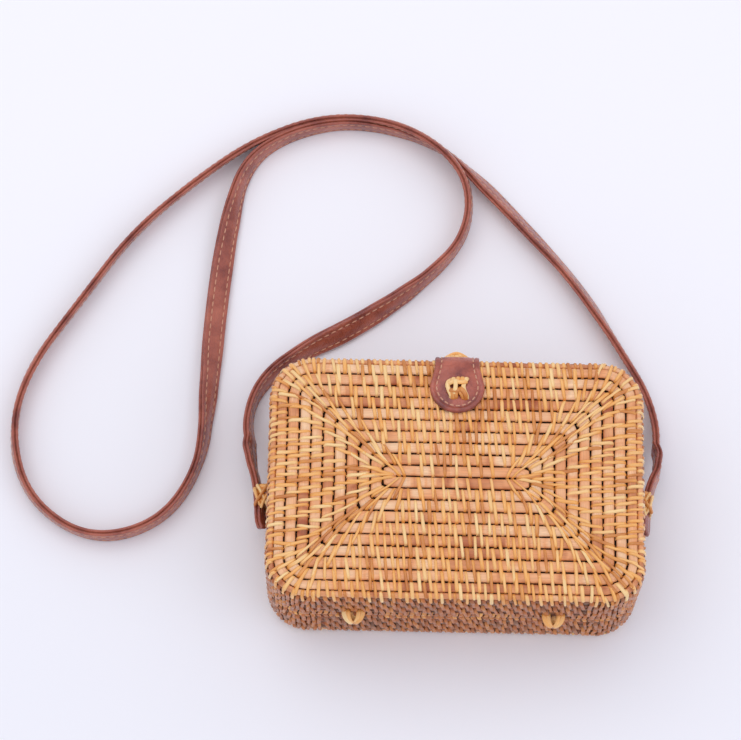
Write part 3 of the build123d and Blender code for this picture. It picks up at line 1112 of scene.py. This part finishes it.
def add_strand(store, line, normals, width, thickness, tone, closed=False):
    """Add a strand with a flat oval section along a line."""
    points, faces, uvs, tones = store
    first = len(points)
    sides = STRAND_SIDES
    count = len(line)
    travelled = 0.0
    for index, centre in enumerate(line):
        before = line[index - 1] if index or closed else line[0]
        after = line[(index + 1) % count] if index < count - 1 or closed else line[-1]
        run = (after - before).normalized()
        if index:
            travelled += (centre - line[index - 1]).length
        across = run.cross(normals[index]).normalized()
        normal = across.cross(run).normalized()
        for side in range(sides):
            angle = 2 * math.pi * side / sides
            points.append(tuple(centre + across * (width / 2 * fuller(math.cos(angle)))
                                + normal * (thickness / 2 * math.sin(angle))))
            uvs.append((travelled * MM, side / sides * STRAND_GIRTH))
            tones.append(tone)
    faces += tube_faces(first, count, sides, closed)
    if not closed:
        faces.append(tuple(first + side for side in reversed(range(sides))))
        faces.append(tuple(first + (count - 1) * sides + side for side in range(sides)))


# Width and thickness of the knots' and ties' strands
FRONT_KNOT_STRAND = (2.35, 1.8)
TOP_KNOT_STRAND = (2.7, 1.8)
LASHING_STRAND = (3.1, 1.7)
TIE_STRAND = (2.3, 1.1)
# How far the knots are lowered and sunk into what they are tied to
FRONT_KNOT_LOWERED, FRONT_KNOT_SUNK = 0.9, 1.2
TOP_KNOT_SUNK = 3.2
LASHING_SUNK = 1.0

# Strands of the tab's knot: points (across, up, height) in mm, the last strands on top
FLOWER_KNOT = (
    ((-2.8, 4.3, -0.4), (-4.4, 2.8, 1.4), (-5.0, 0.7, 1.7), (-4.3, -1.8, 1.8), (-3.3, -4.0, 1.5),
     (-3.0, -4.9, -0.4)),
    ((4.9, 5.2, -0.4), (4.4, 4.2, 1.6), (3.3, 2.0, 1.9), (2.9, 0.1, 2.0), (3.4, -2.2, 1.9),
     (4.4, -4.4, 1.4), (4.8, -5.4, -0.4)),
    ((-1.9, 5.1, -0.4), (-2.0, 4.1, 1.6), (-2.2, 1.9, 2.2)),
    ((0.3, 5.4, -0.4), (0.3, 4.4, 1.8), (0.1, 1.9, 2.4)),
    ((2.6, 5.4, -0.4), (2.5, 4.4, 1.8), (2.2, 1.8, 2.2)),
    ((-3.1, -1.4, 1.8), (-2.6, -3.4, 2.1), (-2.2, -4.9, 0.8), (-2.1, -5.4, -0.4)),
    ((-0.9, -1.4, 2.0), (-0.8, -3.4, 2.1), (-0.7, -4.7, 0.8), (-0.7, -5.1, -0.4)),
    ((-5.0, 0.9, 0.6), (-3.9, 1.7, 2.3), (-1.8, 2.3, 3.0), (0.6, 2.1, 3.1), (2.8, 2.2, 2.9),
     (4.4, 2.9, 1.6)),
    ((-4.6, -1.8, 0.6), (-3.3, -2.3, 2.5), (-1.2, -2.6, 3.1), (0.8, -2.0, 2.9), (2.7, -1.2, 1.8)),
    ((-1.6, 4.2, 0.6), (-1.2, 2.4, 3.5), (-1.0, 0.3, 3.2), (-1.2, -1.7, 3.6), (-1.9, -3.6, 2.0)),
    ((0.6, -1.0, 1.4), (1.9, -1.8, 3.3), (3.2, -3.2, 3.2), (4.1, -4.6, 1.8), (4.4, -5.7, -0.4)),
    ((0.9, -1.9, 1.4), (1.5, -3.0, 2.4), (2.4, -4.2, 1.9), (3.2, -5.3, -0.2)),
)
# The knot behind the fold has one more strand, arched across it
ARCHED_KNOT = FLOWER_KNOT + (
    ((-7.6, 1.0, 0.2), (-4.8, 1.6, 2.4), (-1.2, 2.2, 4.2), (1.2, 2.2, 4.3), (4.0, 1.6, 3.2),
     (6.8, 1.0, 1.4)),
)
# One turn of the lashing, at a height up the strap's end, and the crossed strands at its right end
LASHING_TURN = (
    (-7.0, -1.3, -0.3), (-7.5, -1.1, 2.6), (-6.2, -0.8, 5.6), (-2.6, -0.3, 7.3), (2.6, 0.3, 7.3),
    (6.2, 0.8, 5.6), (7.5, 1.1, 2.6), (7.0, 1.3, -0.3),
)
LASHING_TURNS = (-3.7, -1.3, 1.1, 3.5)
LASHING_END = (
    ((6.4, -6.2, 0.6), (7.6, -3.2, 2.2), (8.0, 1.0, 4.4), (6.2, 4.9, 6.6)),
    ((6.2, -5.4, 4.6), (7.4, -2.4, 6.2), (7.6, 0.8, 7.2), (5.8, 3.0, 8.0)),
    ((6.4, 5.8, 0.4), (8.6, 3.2, 1.8), (8.9, -0.4, 4.2), (7.4, -3.6, 6.6), (5.8, -5.0, 7.4)),
    ((6.6, 2.0, -0.2), (8.4, -0.8, 1.4), (8.0, -4.0, 3.2), (6.2, -6.4, 4.2)),
)


def knot_piece(name, strands, origin, across, up, out, strand_size, seed):
    """Tie a knot from strands in a local frame: across, up and out directions at an origin."""
    width, thickness = strand_size
    draw = random.Random(seed)
    store = ([], [], [], [])
    for strand in strands:
        line = strand_curve([origin + across * x + up * y + out * h for x, y, h in strand], 6)
        normals = [out] * len(line)
        add_strand(store, line, normals, width * draw.uniform(0.9, 1.08), thickness,
                   draw.uniform(0.15, 0.85))
    return mesh_piece(name, *store)


def lashing_strands():
    """Strands of a lashing over the strap: slanting turns round it, crossed at both ends."""
    strands = [tuple((x, height + y, z) for x, y, z in LASHING_TURN) for height in LASHING_TURNS]
    for end in (-1, 1):
        for strand in LASHING_END:
            strands.append(tuple((end * x, y, z) for x, y, z in strand))
    return strands


# The hinge ties: the places of their turns across, and the half sizes of the upright oval that
# they run round, whose middle is moved inwards and up from the hinge line to clear the rims
TIE_TURNS = (-4.5, -2.5, 2.5, 4.5)
TIE_OVAL = (4.0, 5.0)
TIE_INWARDS = 0.9
TIE_RAISED = 3.0
TIE_STEPS = 28
# Share of their spread below, what is added to it at the top, and how far the outer turns stand
# over the inner ones below
TIE_SPREAD_BELOW, TIE_SPREAD_MORE = 0.3, 0.75
TIE_OVERLAP = 0.45


def hinge_tie_piece(name, centre_x, seed):
    """Turns of strip round the hinge line, spread at the lid and drawn together below."""
    store = ([], [], [], [])
    draw = random.Random(seed)
    for place in TIE_TURNS:
        line, normals = [], []
        for step in range(TIE_STEPS):
            angle = 2 * math.pi * step / TIE_STEPS
            top = max(0.0, math.sin(angle))
            spread = TIE_SPREAD_BELOW + TIE_SPREAD_MORE * top ** 0.9
            out = Vector((0, math.cos(angle), math.sin(angle)))
            over = TIE_OVERLAP * (1 - top) if place in (TIE_TURNS[0], TIE_TURNS[-1]) else 0.0
            line.append(Vector((centre_x + place * spread,
                                HINGE[1] + TIE_INWARDS + (TIE_OVAL[0] + over) * out.y,
                                HINGE[2] + TIE_RAISED + (TIE_OVAL[1] + over) * out.z)))
            normals.append(out)
        add_strand(store, line, normals, *TIE_STRAND, draw.uniform(0.45, 0.8), closed=True)
    return mesh_piece(name, *store)


# ---- linings ----
# The cloth lies this far inside the frame's outer surface, and its edge this much more below the seam
LINING_OFFSET = WALL + 0.7
LINING_DROP = 2.0
# Radius of its fold from floor to wall, and how much its floor rises and falls
LINING_FOLD = 1.6
LINING_RIPPLE = 0.18
FLOOR_ROWS, FOLD_ROWS, WALL_ROWS = 8, 3, 7
ARC_STEPS, STRAIGHT_STEPS = 6, 12
CORNER_SIGNS = ((1, 1), (-1, 1), (-1, -1), (1, -1))


def lining_ring(half_x, half_y, radius):
    """One level of the lining: a rounded rectangle, from corner to corner."""
    def on_corner(quadrant, angle):
        side_x, side_y = CORNER_SIGNS[quadrant % 4]
        return (side_x * (half_x - radius) + radius * math.cos(angle),
                side_y * (half_y - radius) + radius * math.sin(angle))

    ring = []
    for quadrant in range(4):
        for step in range(ARC_STEPS + 1):
            angle = math.pi / 2 * step / ARC_STEPS + quadrant * math.pi / 2
            ring.append(on_corner(quadrant, angle))
        start = ring[-1]
        end = on_corner(quadrant + 1, (quadrant + 1) * math.pi / 2)
        for step in range(1, STRAIGHT_STEPS):
            part = step / STRAIGHT_STEPS
            ring.append((start[0] + (end[0] - start[0]) * part, start[1] + (end[1] - start[1]) * part))
    return ring


def lining_sheet(name, front):
    """The cloth that lines one half, floor and wall in one sheet, a little uneven. Also gives its
    flat size and its area, in metres."""
    wide = HALF_WIDTH - LINING_OFFSET
    high = HALF_HEIGHT - LINING_OFFSET
    corner = CORNER_RADIUS - LINING_OFFSET
    fold = LINING_FOLD
    wall = HALF_DEPTH - LINING_OFFSET - LINING_DROP
    rows = [(fold + (high - fold) * (FLOOR_ROWS - step) / FLOOR_ROWS, 0.0)
            for step in range(FLOOR_ROWS + 1)]
    for step in range(1, FOLD_ROWS + 1):
        angle = math.pi / 2 * step / FOLD_ROWS
        rows.append((fold - fold * math.sin(angle), fold - fold * math.cos(angle)))
    for step in range(1, WALL_ROWS + 1):
        rows.append((0.0, fold + (wall - fold) * step / WALL_ROWS))
    points, faces = [], []
    for inset, rise in rows:
        half_y = max(high - inset, 0.01)
        radius = min(max(corner - inset, 0.5), half_y)
        ring = lining_ring(wide - inset, half_y, radius)
        for x, y in ring:
            layer = rise * 0.1 + (3 if front else 9)
            ripple = LINING_RIPPLE * noise.noise(Vector((x * 0.06, y * 0.06, layer)))
            z = LINING_OFFSET + rise + (ripple if rise < fold else 0.0)
            points.append((x, y, DEPTH - z if front else z))
    ring_size = len(ring)
    for row in range(len(rows) - 1):
        for step in range(ring_size):
            a = row * ring_size + step
            b = row * ring_size + (step + 1) % ring_size
            quad = (a, b, b + ring_size, a + ring_size)
            faces.append(quad if front else tuple(reversed(quad)))
    piece = mesh_piece(name, points, faces)
    merge_points(piece, 0.05)
    flat = (2 * (wide + wall) * MM, 2 * (high + wall) * MM)
    area = sum(polygon.area for polygon in piece.data.polygons)
    return piece, flat, area


# ---- the snap ----
# Radius, and where the disc starts and ends, out from the bag's top side
SNAP_CAP = (5.0, 0.05, 1.3)
SNAP_PLATE = (5.0, -1.5, 0.0)
# Insets of the disc's outer face, width and depth: its flat border, groove, floor and raised middle
SNAP_STEPS = ((0.9, 0.0), (0.5, -0.35), (1.4, 0.0), (0.3, 0.25))


def snap_disc(name, radius, low, high, facing, z):
    """A pressed metal disc with a rolled rim, standing on the bag's top side."""
    bpy.ops.object.select_all(action="DESELECT")
    bpy.ops.mesh.primitive_cylinder_add(vertices=40, radius=radius * MM, depth=(high - low) * MM)
    disc = bpy.context.object
    disc.name = name
    disc.data.name = name
    bpy.ops.object.mode_set(mode="EDIT")
    bpy.ops.mesh.select_mode(type="FACE")
    bpy.ops.mesh.select_all(action="DESELECT")
    bpy.ops.object.mode_set(mode="OBJECT")
    top = max(disc.data.polygons, key=lambda polygon: polygon.center.z)
    top.select = True
    bpy.ops.object.mode_set(mode="EDIT")
    for width, depth in SNAP_STEPS:
        bpy.ops.mesh.inset(thickness=width * MM, depth=depth * MM)
    bpy.ops.object.mode_set(mode="OBJECT")
    bevel = disc.modifiers.new("rolled_rim", "BEVEL")
    bevel.width = 0.25 * MM
    bevel.segments = 2
    bevel.limit_method = "ANGLE"
    bpy.ops.object.modifier_apply(modifier=bevel.name)
    middle = (low + high) / 2
    turn = Matrix.Rotation(-math.pi / 2 * facing, 4, "X")
    disc.data.transform(Matrix.Translation((0, (HALF_HEIGHT + middle) * MM, z * MM)) @ turn)
    bpy.ops.object.shade_smooth_by_angle(angle=math.radians(35))
    return disc


# ---- settings ----
class BagLook(bpy.types.PropertyGroup):
    """Colours of the rattan."""

    rod_light: bpy.props.FloatVectorProperty(
        name="Rod light", description="Palest stretches of the rods", subtype="COLOR_GAMMA",
        size=3, min=0, max=1, default=srgb("#f8cca0"))
    rod_mid: bpy.props.FloatVectorProperty(
        name="Rod middle", description="Usual colour of the rods", subtype="COLOR_GAMMA",
        size=3, min=0, max=1, default=srgb("#eda56e"))
    # also carries the narrow sides' painted shade, through their lowered tone
    rod_dark: bpy.props.FloatVectorProperty(
        name="Rod dark", description="Oldest, brownest stretches of the rods", subtype="COLOR_GAMMA",
        size=3, min=0, max=1, default=srgb("#ab552a"))
    strip_light: bpy.props.FloatVectorProperty(
        name="Strip light", description="Palest binding strips", subtype="COLOR_GAMMA",
        size=3, min=0, max=1, default=srgb("#ffd896"))
    strip_mid: bpy.props.FloatVectorProperty(
        name="Strip middle", description="Usual colour of the binding strips", subtype="COLOR_GAMMA",
        size=3, min=0, max=1, default=srgb("#f7b05a"))
    # also carries the narrow sides' painted shade, through their lowered tone
    strip_dark: bpy.props.FloatVectorProperty(
        name="Strip dark", description="Darkest binding strips", subtype="COLOR_GAMMA",
        size=3, min=0, max=1, default=srgb("#c26d2a"))


class BagWeave(bpy.types.PropertyGroup):
    """Sizes of the weave, in millimetres."""

    rod_pitch: bpy.props.FloatProperty(
        name="Rod pitch", description="Distance from rod to rod, mm", default=6.0, min=3.0, max=12.0)
    rod_gap: bpy.props.FloatProperty(
        name="Rod gap", description="Open gap between rods, mm", default=0.75, min=0.1, max=3.0)
    rod_thickness: bpy.props.FloatProperty(
        name="Rod thickness", description="Thickness of a flat-oval rod, mm",
        default=3.0, min=1.0, max=5.0)
    rod_step: bpy.props.FloatProperty(
        name="Rod step", description="Spacing of a rod's cross-sections, mm",
        default=3.0, min=1.0, max=10.0)
    strip_width: bpy.props.FloatProperty(
        name="Strip width", description="Width of a binding strip, mm", default=1.75, min=0.5, max=5.0)
    strip_thickness: bpy.props.FloatProperty(
        name="Strip thickness", description="Thickness of a binding strip, mm",
        default=0.7, min=0.1, max=1.0)
    strip_spacing: bpy.props.FloatProperty(
        name="Strip spacing", description="Distance between strips on one pair of rods, mm",
        default=6.2, min=3.0, max=20.0)
    side_spacing: bpy.props.FloatProperty(
        name="Side spacing", description="Distance between strips on the narrow sides, mm",
        default=6.2, min=3.0, max=20.0)
    strip_slant: bpy.props.FloatProperty(
        name="Strip slant", description="Sideways run of a strip for each mm across the rods",
        default=0.1)
    side_slant: bpy.props.FloatProperty(
        name="Side slant", description="The same on the narrow sides", default=0.2)
    corner_fan: bpy.props.FloatProperty(
        name="Corner fan", description="Straight length beside a corner over which strips fan out, mm",
        default=7.0, min=0.0, max=30.0)


class BagStrap(bpy.types.PropertyGroup):
    """Sizes of the shoulder strap, in millimetres."""

    width: bpy.props.FloatProperty(name="Width", description="Width of the strap, mm", default=12.0)
    thickness: bpy.props.FloatProperty(
        name="Thickness", description="Thickness of its two layers, mm", default=3.4)
    step: bpy.props.FloatProperty(
        name="Step", description="Spacing of the strap's cross-sections, mm", default=2.1)
    stitch_inset: bpy.props.FloatProperty(
        name="Stitch inset", description="Distance of a stitch row from the edge, mm", default=2.5)
    stitch_pitch: bpy.props.FloatProperty(
        name="Stitch pitch", description="Distance from stitch to stitch, mm", default=4.2)


class BagTab(bpy.types.PropertyGroup):
    """Sizes of the closure tab, in millimetres."""

    length_on_face: bpy.props.FloatProperty(
        name="Length on the face", description="From the bag's top edge to the tab's tip, mm",
        default=30.6)
    widest: bpy.props.FloatProperty(
        name="Widest", description="Width at the round tip, mm", default=27.8)
    fold_width: bpy.props.FloatProperty(
        name="Fold width", description="Width from the fold to the rear end, mm", default=22.6)
    rear_end: bpy.props.FloatProperty(
        name="Rear end", description="Height of the rear end above the back face, mm", default=13.0)
    stitch_pitch: bpy.props.FloatProperty(
        name="Stitch pitch", description="Distance from stitch to stitch, mm", default=3.1)


class BagStage(bpy.types.PropertyGroup):
    """The stage: floor, light and camera."""

    floor_size: bpy.props.FloatProperty(
        name="Floor size", description="Side of the floor", default=8.0, unit="LENGTH")
    key_power: bpy.props.FloatProperty(
        name="Key power", description="Power of the main light, W", default=9.0)
    fill_power: bpy.props.FloatProperty(
        name="Fill power", description="Power of the fill light, W", default=7.0)
    sky: bpy.props.FloatProperty(
        name="Sky", description="Strength of the even light from all round", default=0.845)
    distance: bpy.props.FloatProperty(
        name="Camera distance", description="From the camera to where it looks",
        default=1.5, unit="LENGTH")
    elevation: bpy.props.FloatProperty(
        name="Camera elevation", description="Angle of the camera above the floor",
        default=math.radians(70.0), subtype="ANGLE")
    roll: bpy.props.FloatProperty(
        name="Camera roll", description="Turn of the camera about its own line of sight",
        default=math.radians(1.16), subtype="ANGLE")
    lens: bpy.props.FloatProperty(
        name="Lens", description="Focal length of the camera, mm", default=137.1)
    aim: bpy.props.FloatVectorProperty(
        name="Aim", description="Point on the floor that the camera looks at", size=3,
        default=(-0.0439, 0.081, 0.0), subtype="TRANSLATION", unit="LENGTH")


# ---- operators ----
# The floor lies this far under the bag, in metres, so that the two don't share a plane
FLOOR_GAP = 0.0002


class BAG_OT_half(bpy.types.Operator):
    """Weave one half of the bag: rods, strips and whipped rim"""
    bl_idname = "bag.half"
    bl_label = "Woven half"
    front: bpy.props.BoolProperty(name="Front half", description="Weave the front half", default=True)

    def execute(self, context):
        side = "front" if self.front else "back"
        seed = 11 if self.front else 29
        rods = mesh_piece(f"{side}_rods", *coil_rods(self.front, seed))
        finish_piece(rods, side, bag_material("rod"), [f"{side}_shell"])
        strips = mesh_piece(f"{side}_strips", *coil_strips(self.front, seed + 1))
        finish_piece(strips, side, bag_material("strip"))
        whipping = mesh_piece(f"{side}_rim_strips", *rim_strips(self.front, seed + 2))
        finish_piece(whipping, side, bag_material("strip"))
        inner = mesh_piece(f"{side}_rim_rod", *rim_rod(self.front))
        finish_piece(inner, side, bag_material("rod"))
        return {"FINISHED"}


class BAG_OT_linings(bpy.types.Operator):
    """Line both halves with dark cotton"""
    bl_idname = "bag.linings"
    bl_label = "Linings"

    def execute(self, context):
        for side, front in (("back", False), ("front", True)):
            cloth, flat, area = lining_sheet(f"{side}_lining_cloth", front)
            finish_piece(cloth, side, bag_material("lining"), [f"{side}_lining"])
        return {"FINISHED"}


class BAG_OT_tab(bpy.types.Operator):
    """Cut, fold and stitch the two layers of the closure tab, with the snap in its rear end"""
    bl_idname = "bag.tab"
    bl_label = "Closure tab"

    def execute(self, context):
        tab = context.scene.bag_tab
        backing = tab_sheet("closure_tab_under_layer", *UNDER_LAYER, False, 0.0)
        finish_piece(backing, "front", bag_material("tab"), ["closure_tab_backing"])
        leather = tab_sheet("closure_tab_leather", *TOP_LAYER, True, TOP_LAYER_MARGIN)
        finish_piece(leather, "front", bag_material("tab"), ["closure_tab"])
        stitching = tab_stitching(TOP_LAYER[1])
        finish_piece(stitching, "front", bag_material("thread"))
        middle = tab.rear_end + tab.fold_width / 2
        magnet = snap_disc("tab_snap_cap", *SNAP_CAP, -1, middle)
        finish_piece(magnet, "front", bag_material("steel"), ["snap_magnet"])
        keeper = snap_disc("back_snap_plate", *SNAP_PLATE, 1, middle)
        finish_piece(keeper, "back", bag_material("steel"), ["snap_keeper"])
        return {"FINISHED"}


class BAG_OT_knots(bpy.types.Operator):
    """Tie the knots of the tab and of the strap's ends"""
    bl_idname = "bag.knots"
    bl_label = "Knots"

    def execute(self, context):
        x_axis, y_axis, z_axis = Vector((1, 0, 0)), Vector((0, 1, 0)), Vector((0, 0, 1))
        low, high = node_box("tab_front_knot")
        centre = (low + high) / 2
        origin = Vector((centre.x, centre.y - FRONT_KNOT_LOWERED, low.z - FRONT_KNOT_SUNK))
        front = knot_piece("tab_front_knot_strands", FLOWER_KNOT, origin, x_axis, y_axis, z_axis,
                           FRONT_KNOT_STRAND, 5)
        finish_piece(front, "front", bag_material("strip"), ["tab_front_knot"])
        low, high = node_box("tab_top_knot")
        centre = (low + high) / 2
        origin = Vector((centre.x, low.y - TOP_KNOT_SUNK, centre.z))
        top = knot_piece("tab_top_knot_strands", ARCHED_KNOT, origin, -x_axis, z_axis, y_axis,
                         TOP_KNOT_STRAND, 6)
        finish_piece(top, "front", bag_material("strip"), ["tab_top_knot"])
        for name, side, seed in (("strap_knot_left", -1, 7), ("strap_knot_right", 1, 8)):
            low, high = node_box(name)
            centre = (low + high) / 2
            wall = (low.x if side > 0 else high.x) - side * LASHING_SUNK
            origin = Vector((wall, centre.y, centre.z))
            knot = knot_piece(f"{name}_strands", lashing_strands(), origin, z_axis, y_axis,
                              x_axis * side, LASHING_STRAND, seed)
            finish_piece(knot, "back", bag_material("strip"), [name])
        return {"FINISHED"}


class BAG_OT_hinge_ties(bpy.types.Operator):
    """Wind the two hinge ties round the hinge line"""
    bl_idname = "bag.hinge_ties"
    bl_label = "Hinge ties"

    def execute(self, context):
        for name, seed in (("hinge_tie_left", 15), ("hinge_tie_right", 16)):
            low, high = node_box(name)
            tie = hinge_tie_piece(f"{name}_strands", (low.x + high.x) / 2, seed)
            finish_piece(tie, "back", bag_material("strip"), [name])
        return {"FINISHED"}


class BAG_OT_strap(bpy.types.Operator):
    """Lay the shoulder strap along its route, with its stitching"""
    bl_idname = "bag.strap"
    bl_label = "Shoulder strap"

    def execute(self, context):
        strap, frames = strap_body()
        finish_piece(strap, "back", bag_material("strap"), ["shoulder_strap"])
        stitching = strap_stitching(frames)
        finish_piece(stitching, "back", bag_material("thread"))
        return {"FINISHED"}


class BAG_OT_stage(bpy.types.Operator):
    """Set the floor, the soft light and the camera"""
    bl_idname = "bag.stage"
    bl_label = "Stage"

    def execute(self, context):
        stage = context.scene.bag_stage
        bpy.ops.object.select_all(action="DESELECT")
        bpy.ops.mesh.primitive_plane_add(size=stage.floor_size)
        floor = context.object
        floor.name = "studio_floor"
        floor.data.transform(Matrix.Translation((0, 0, -FLOOR_GAP)))
        # the paper's second, darker colour is painted shade towards the front
        floor.data.materials.append(paper_material("matt_studio_paper", "#f7f7fa", "#f1f2f6"))
        world = bpy.data.worlds.new("even_sky")
        context.scene.world = world
        world.use_nodes = True
        back = world.node_tree.nodes["Background"]
        back.inputs[0].default_value = to_linear("#f5f5ff")
        back.inputs[1].default_value = stage.sky
        for name, place, size, power, colour in (
                ("key_softbox", (-0.6, 0.45, 2.0), 2.0, stage.key_power, "#fffdfb"),
                ("fill_softbox", (1.3, -0.6, 1.7), 1.8, stage.fill_power, "#f1f2ff")):
            bpy.ops.object.select_all(action="DESELECT")
            bpy.ops.object.light_add(type="AREA", location=place)
            lamp = context.object
            lamp.name = name
            lamp.data.shape = "DISK"
            lamp.data.size = size
            lamp.data.energy = power
            lamp.data.color = to_linear(colour)[:3]
            lamp.rotation_euler = (-Vector(place)).to_track_quat("-Z", "Y").to_euler()
        eye = bpy.data.cameras.new("camera")
        camera = bpy.data.objects.new("camera", eye)
        context.scene.collection.objects.link(camera)
        away = Vector((0, -math.cos(stage.elevation), math.sin(stage.elevation)))
        right = Vector((1, 0, 0))
        up = away.cross(right)
        leaned_right = right * math.cos(stage.roll) + up * math.sin(stage.roll)
        leaned_up = up * math.cos(stage.roll) - right * math.sin(stage.roll)
        place = Vector(stage.aim) + away * stage.distance
        axes = Matrix((leaned_right, leaned_up, away)).transposed().to_4x4()
        camera.matrix_world = Matrix.Translation(place) @ axes
        eye.lens = stage.lens
        eye.clip_start = 0.01
        context.scene.camera = camera
        context.scene.view_settings.view_transform = "Standard"
        return {"FINISHED"}


class BAG_PT_panel(bpy.types.Panel):
    """Settings and steps of the bag"""
    bl_idname = "BAG_PT_panel"
    bl_label = "Rattan box bag"
    bl_space_type = "VIEW_3D"
    bl_region_type = "UI"
    bl_category = "Box bag"

    def draw(self, context):
        for settings in ("bag_look", "bag_weave", "bag_strap", "bag_tab", "bag_stage"):
            group = getattr(context.scene, settings)
            box = self.layout.box()
            for name in group.bl_rna.properties.keys():
                if name not in {"rna_type", "name"}:
                    box.prop(group, name)
        for operator in (BAG_OT_half, BAG_OT_linings, BAG_OT_tab, BAG_OT_knots, BAG_OT_hinge_ties,
                         BAG_OT_strap, BAG_OT_stage):
            self.layout.operator(operator.bl_idname)


GROUPS = {"bag_look": BagLook, "bag_weave": BagWeave, "bag_strap": BagStrap, "bag_tab": BagTab,
          "bag_stage": BagStage}
CLASSES = (BAG_OT_half, BAG_OT_linings, BAG_OT_tab, BAG_OT_knots, BAG_OT_hinge_ties, BAG_OT_strap,
           BAG_OT_stage, BAG_PT_panel)


def register():
    """Add the settings, operators and panel."""
    for name, group in GROUPS.items():
        bpy.utils.register_class(group)
        setattr(bpy.types.Scene, name, bpy.props.PointerProperty(type=group))
    for item in CLASSES:
        bpy.utils.register_class(item)


def unregister():
    """Take them away again."""
    for item in reversed(CLASSES):
        bpy.utils.unregister_class(item)
    for name, group in GROUPS.items():
        delattr(bpy.types.Scene, name)
        bpy.utils.unregister_class(group)


def main():
    """Build the whole scene."""
    register()
    bpy.ops.bag.stage()
    bpy.ops.bag.strap()
    bpy.ops.bag.half(front=True)
    bpy.ops.bag.half(front=False)
    bpy.ops.bag.linings()
    bpy.ops.bag.tab()
    bpy.ops.bag.knots()
    bpy.ops.bag.hinge_ties()


if __name__ == "__main__":
    main()
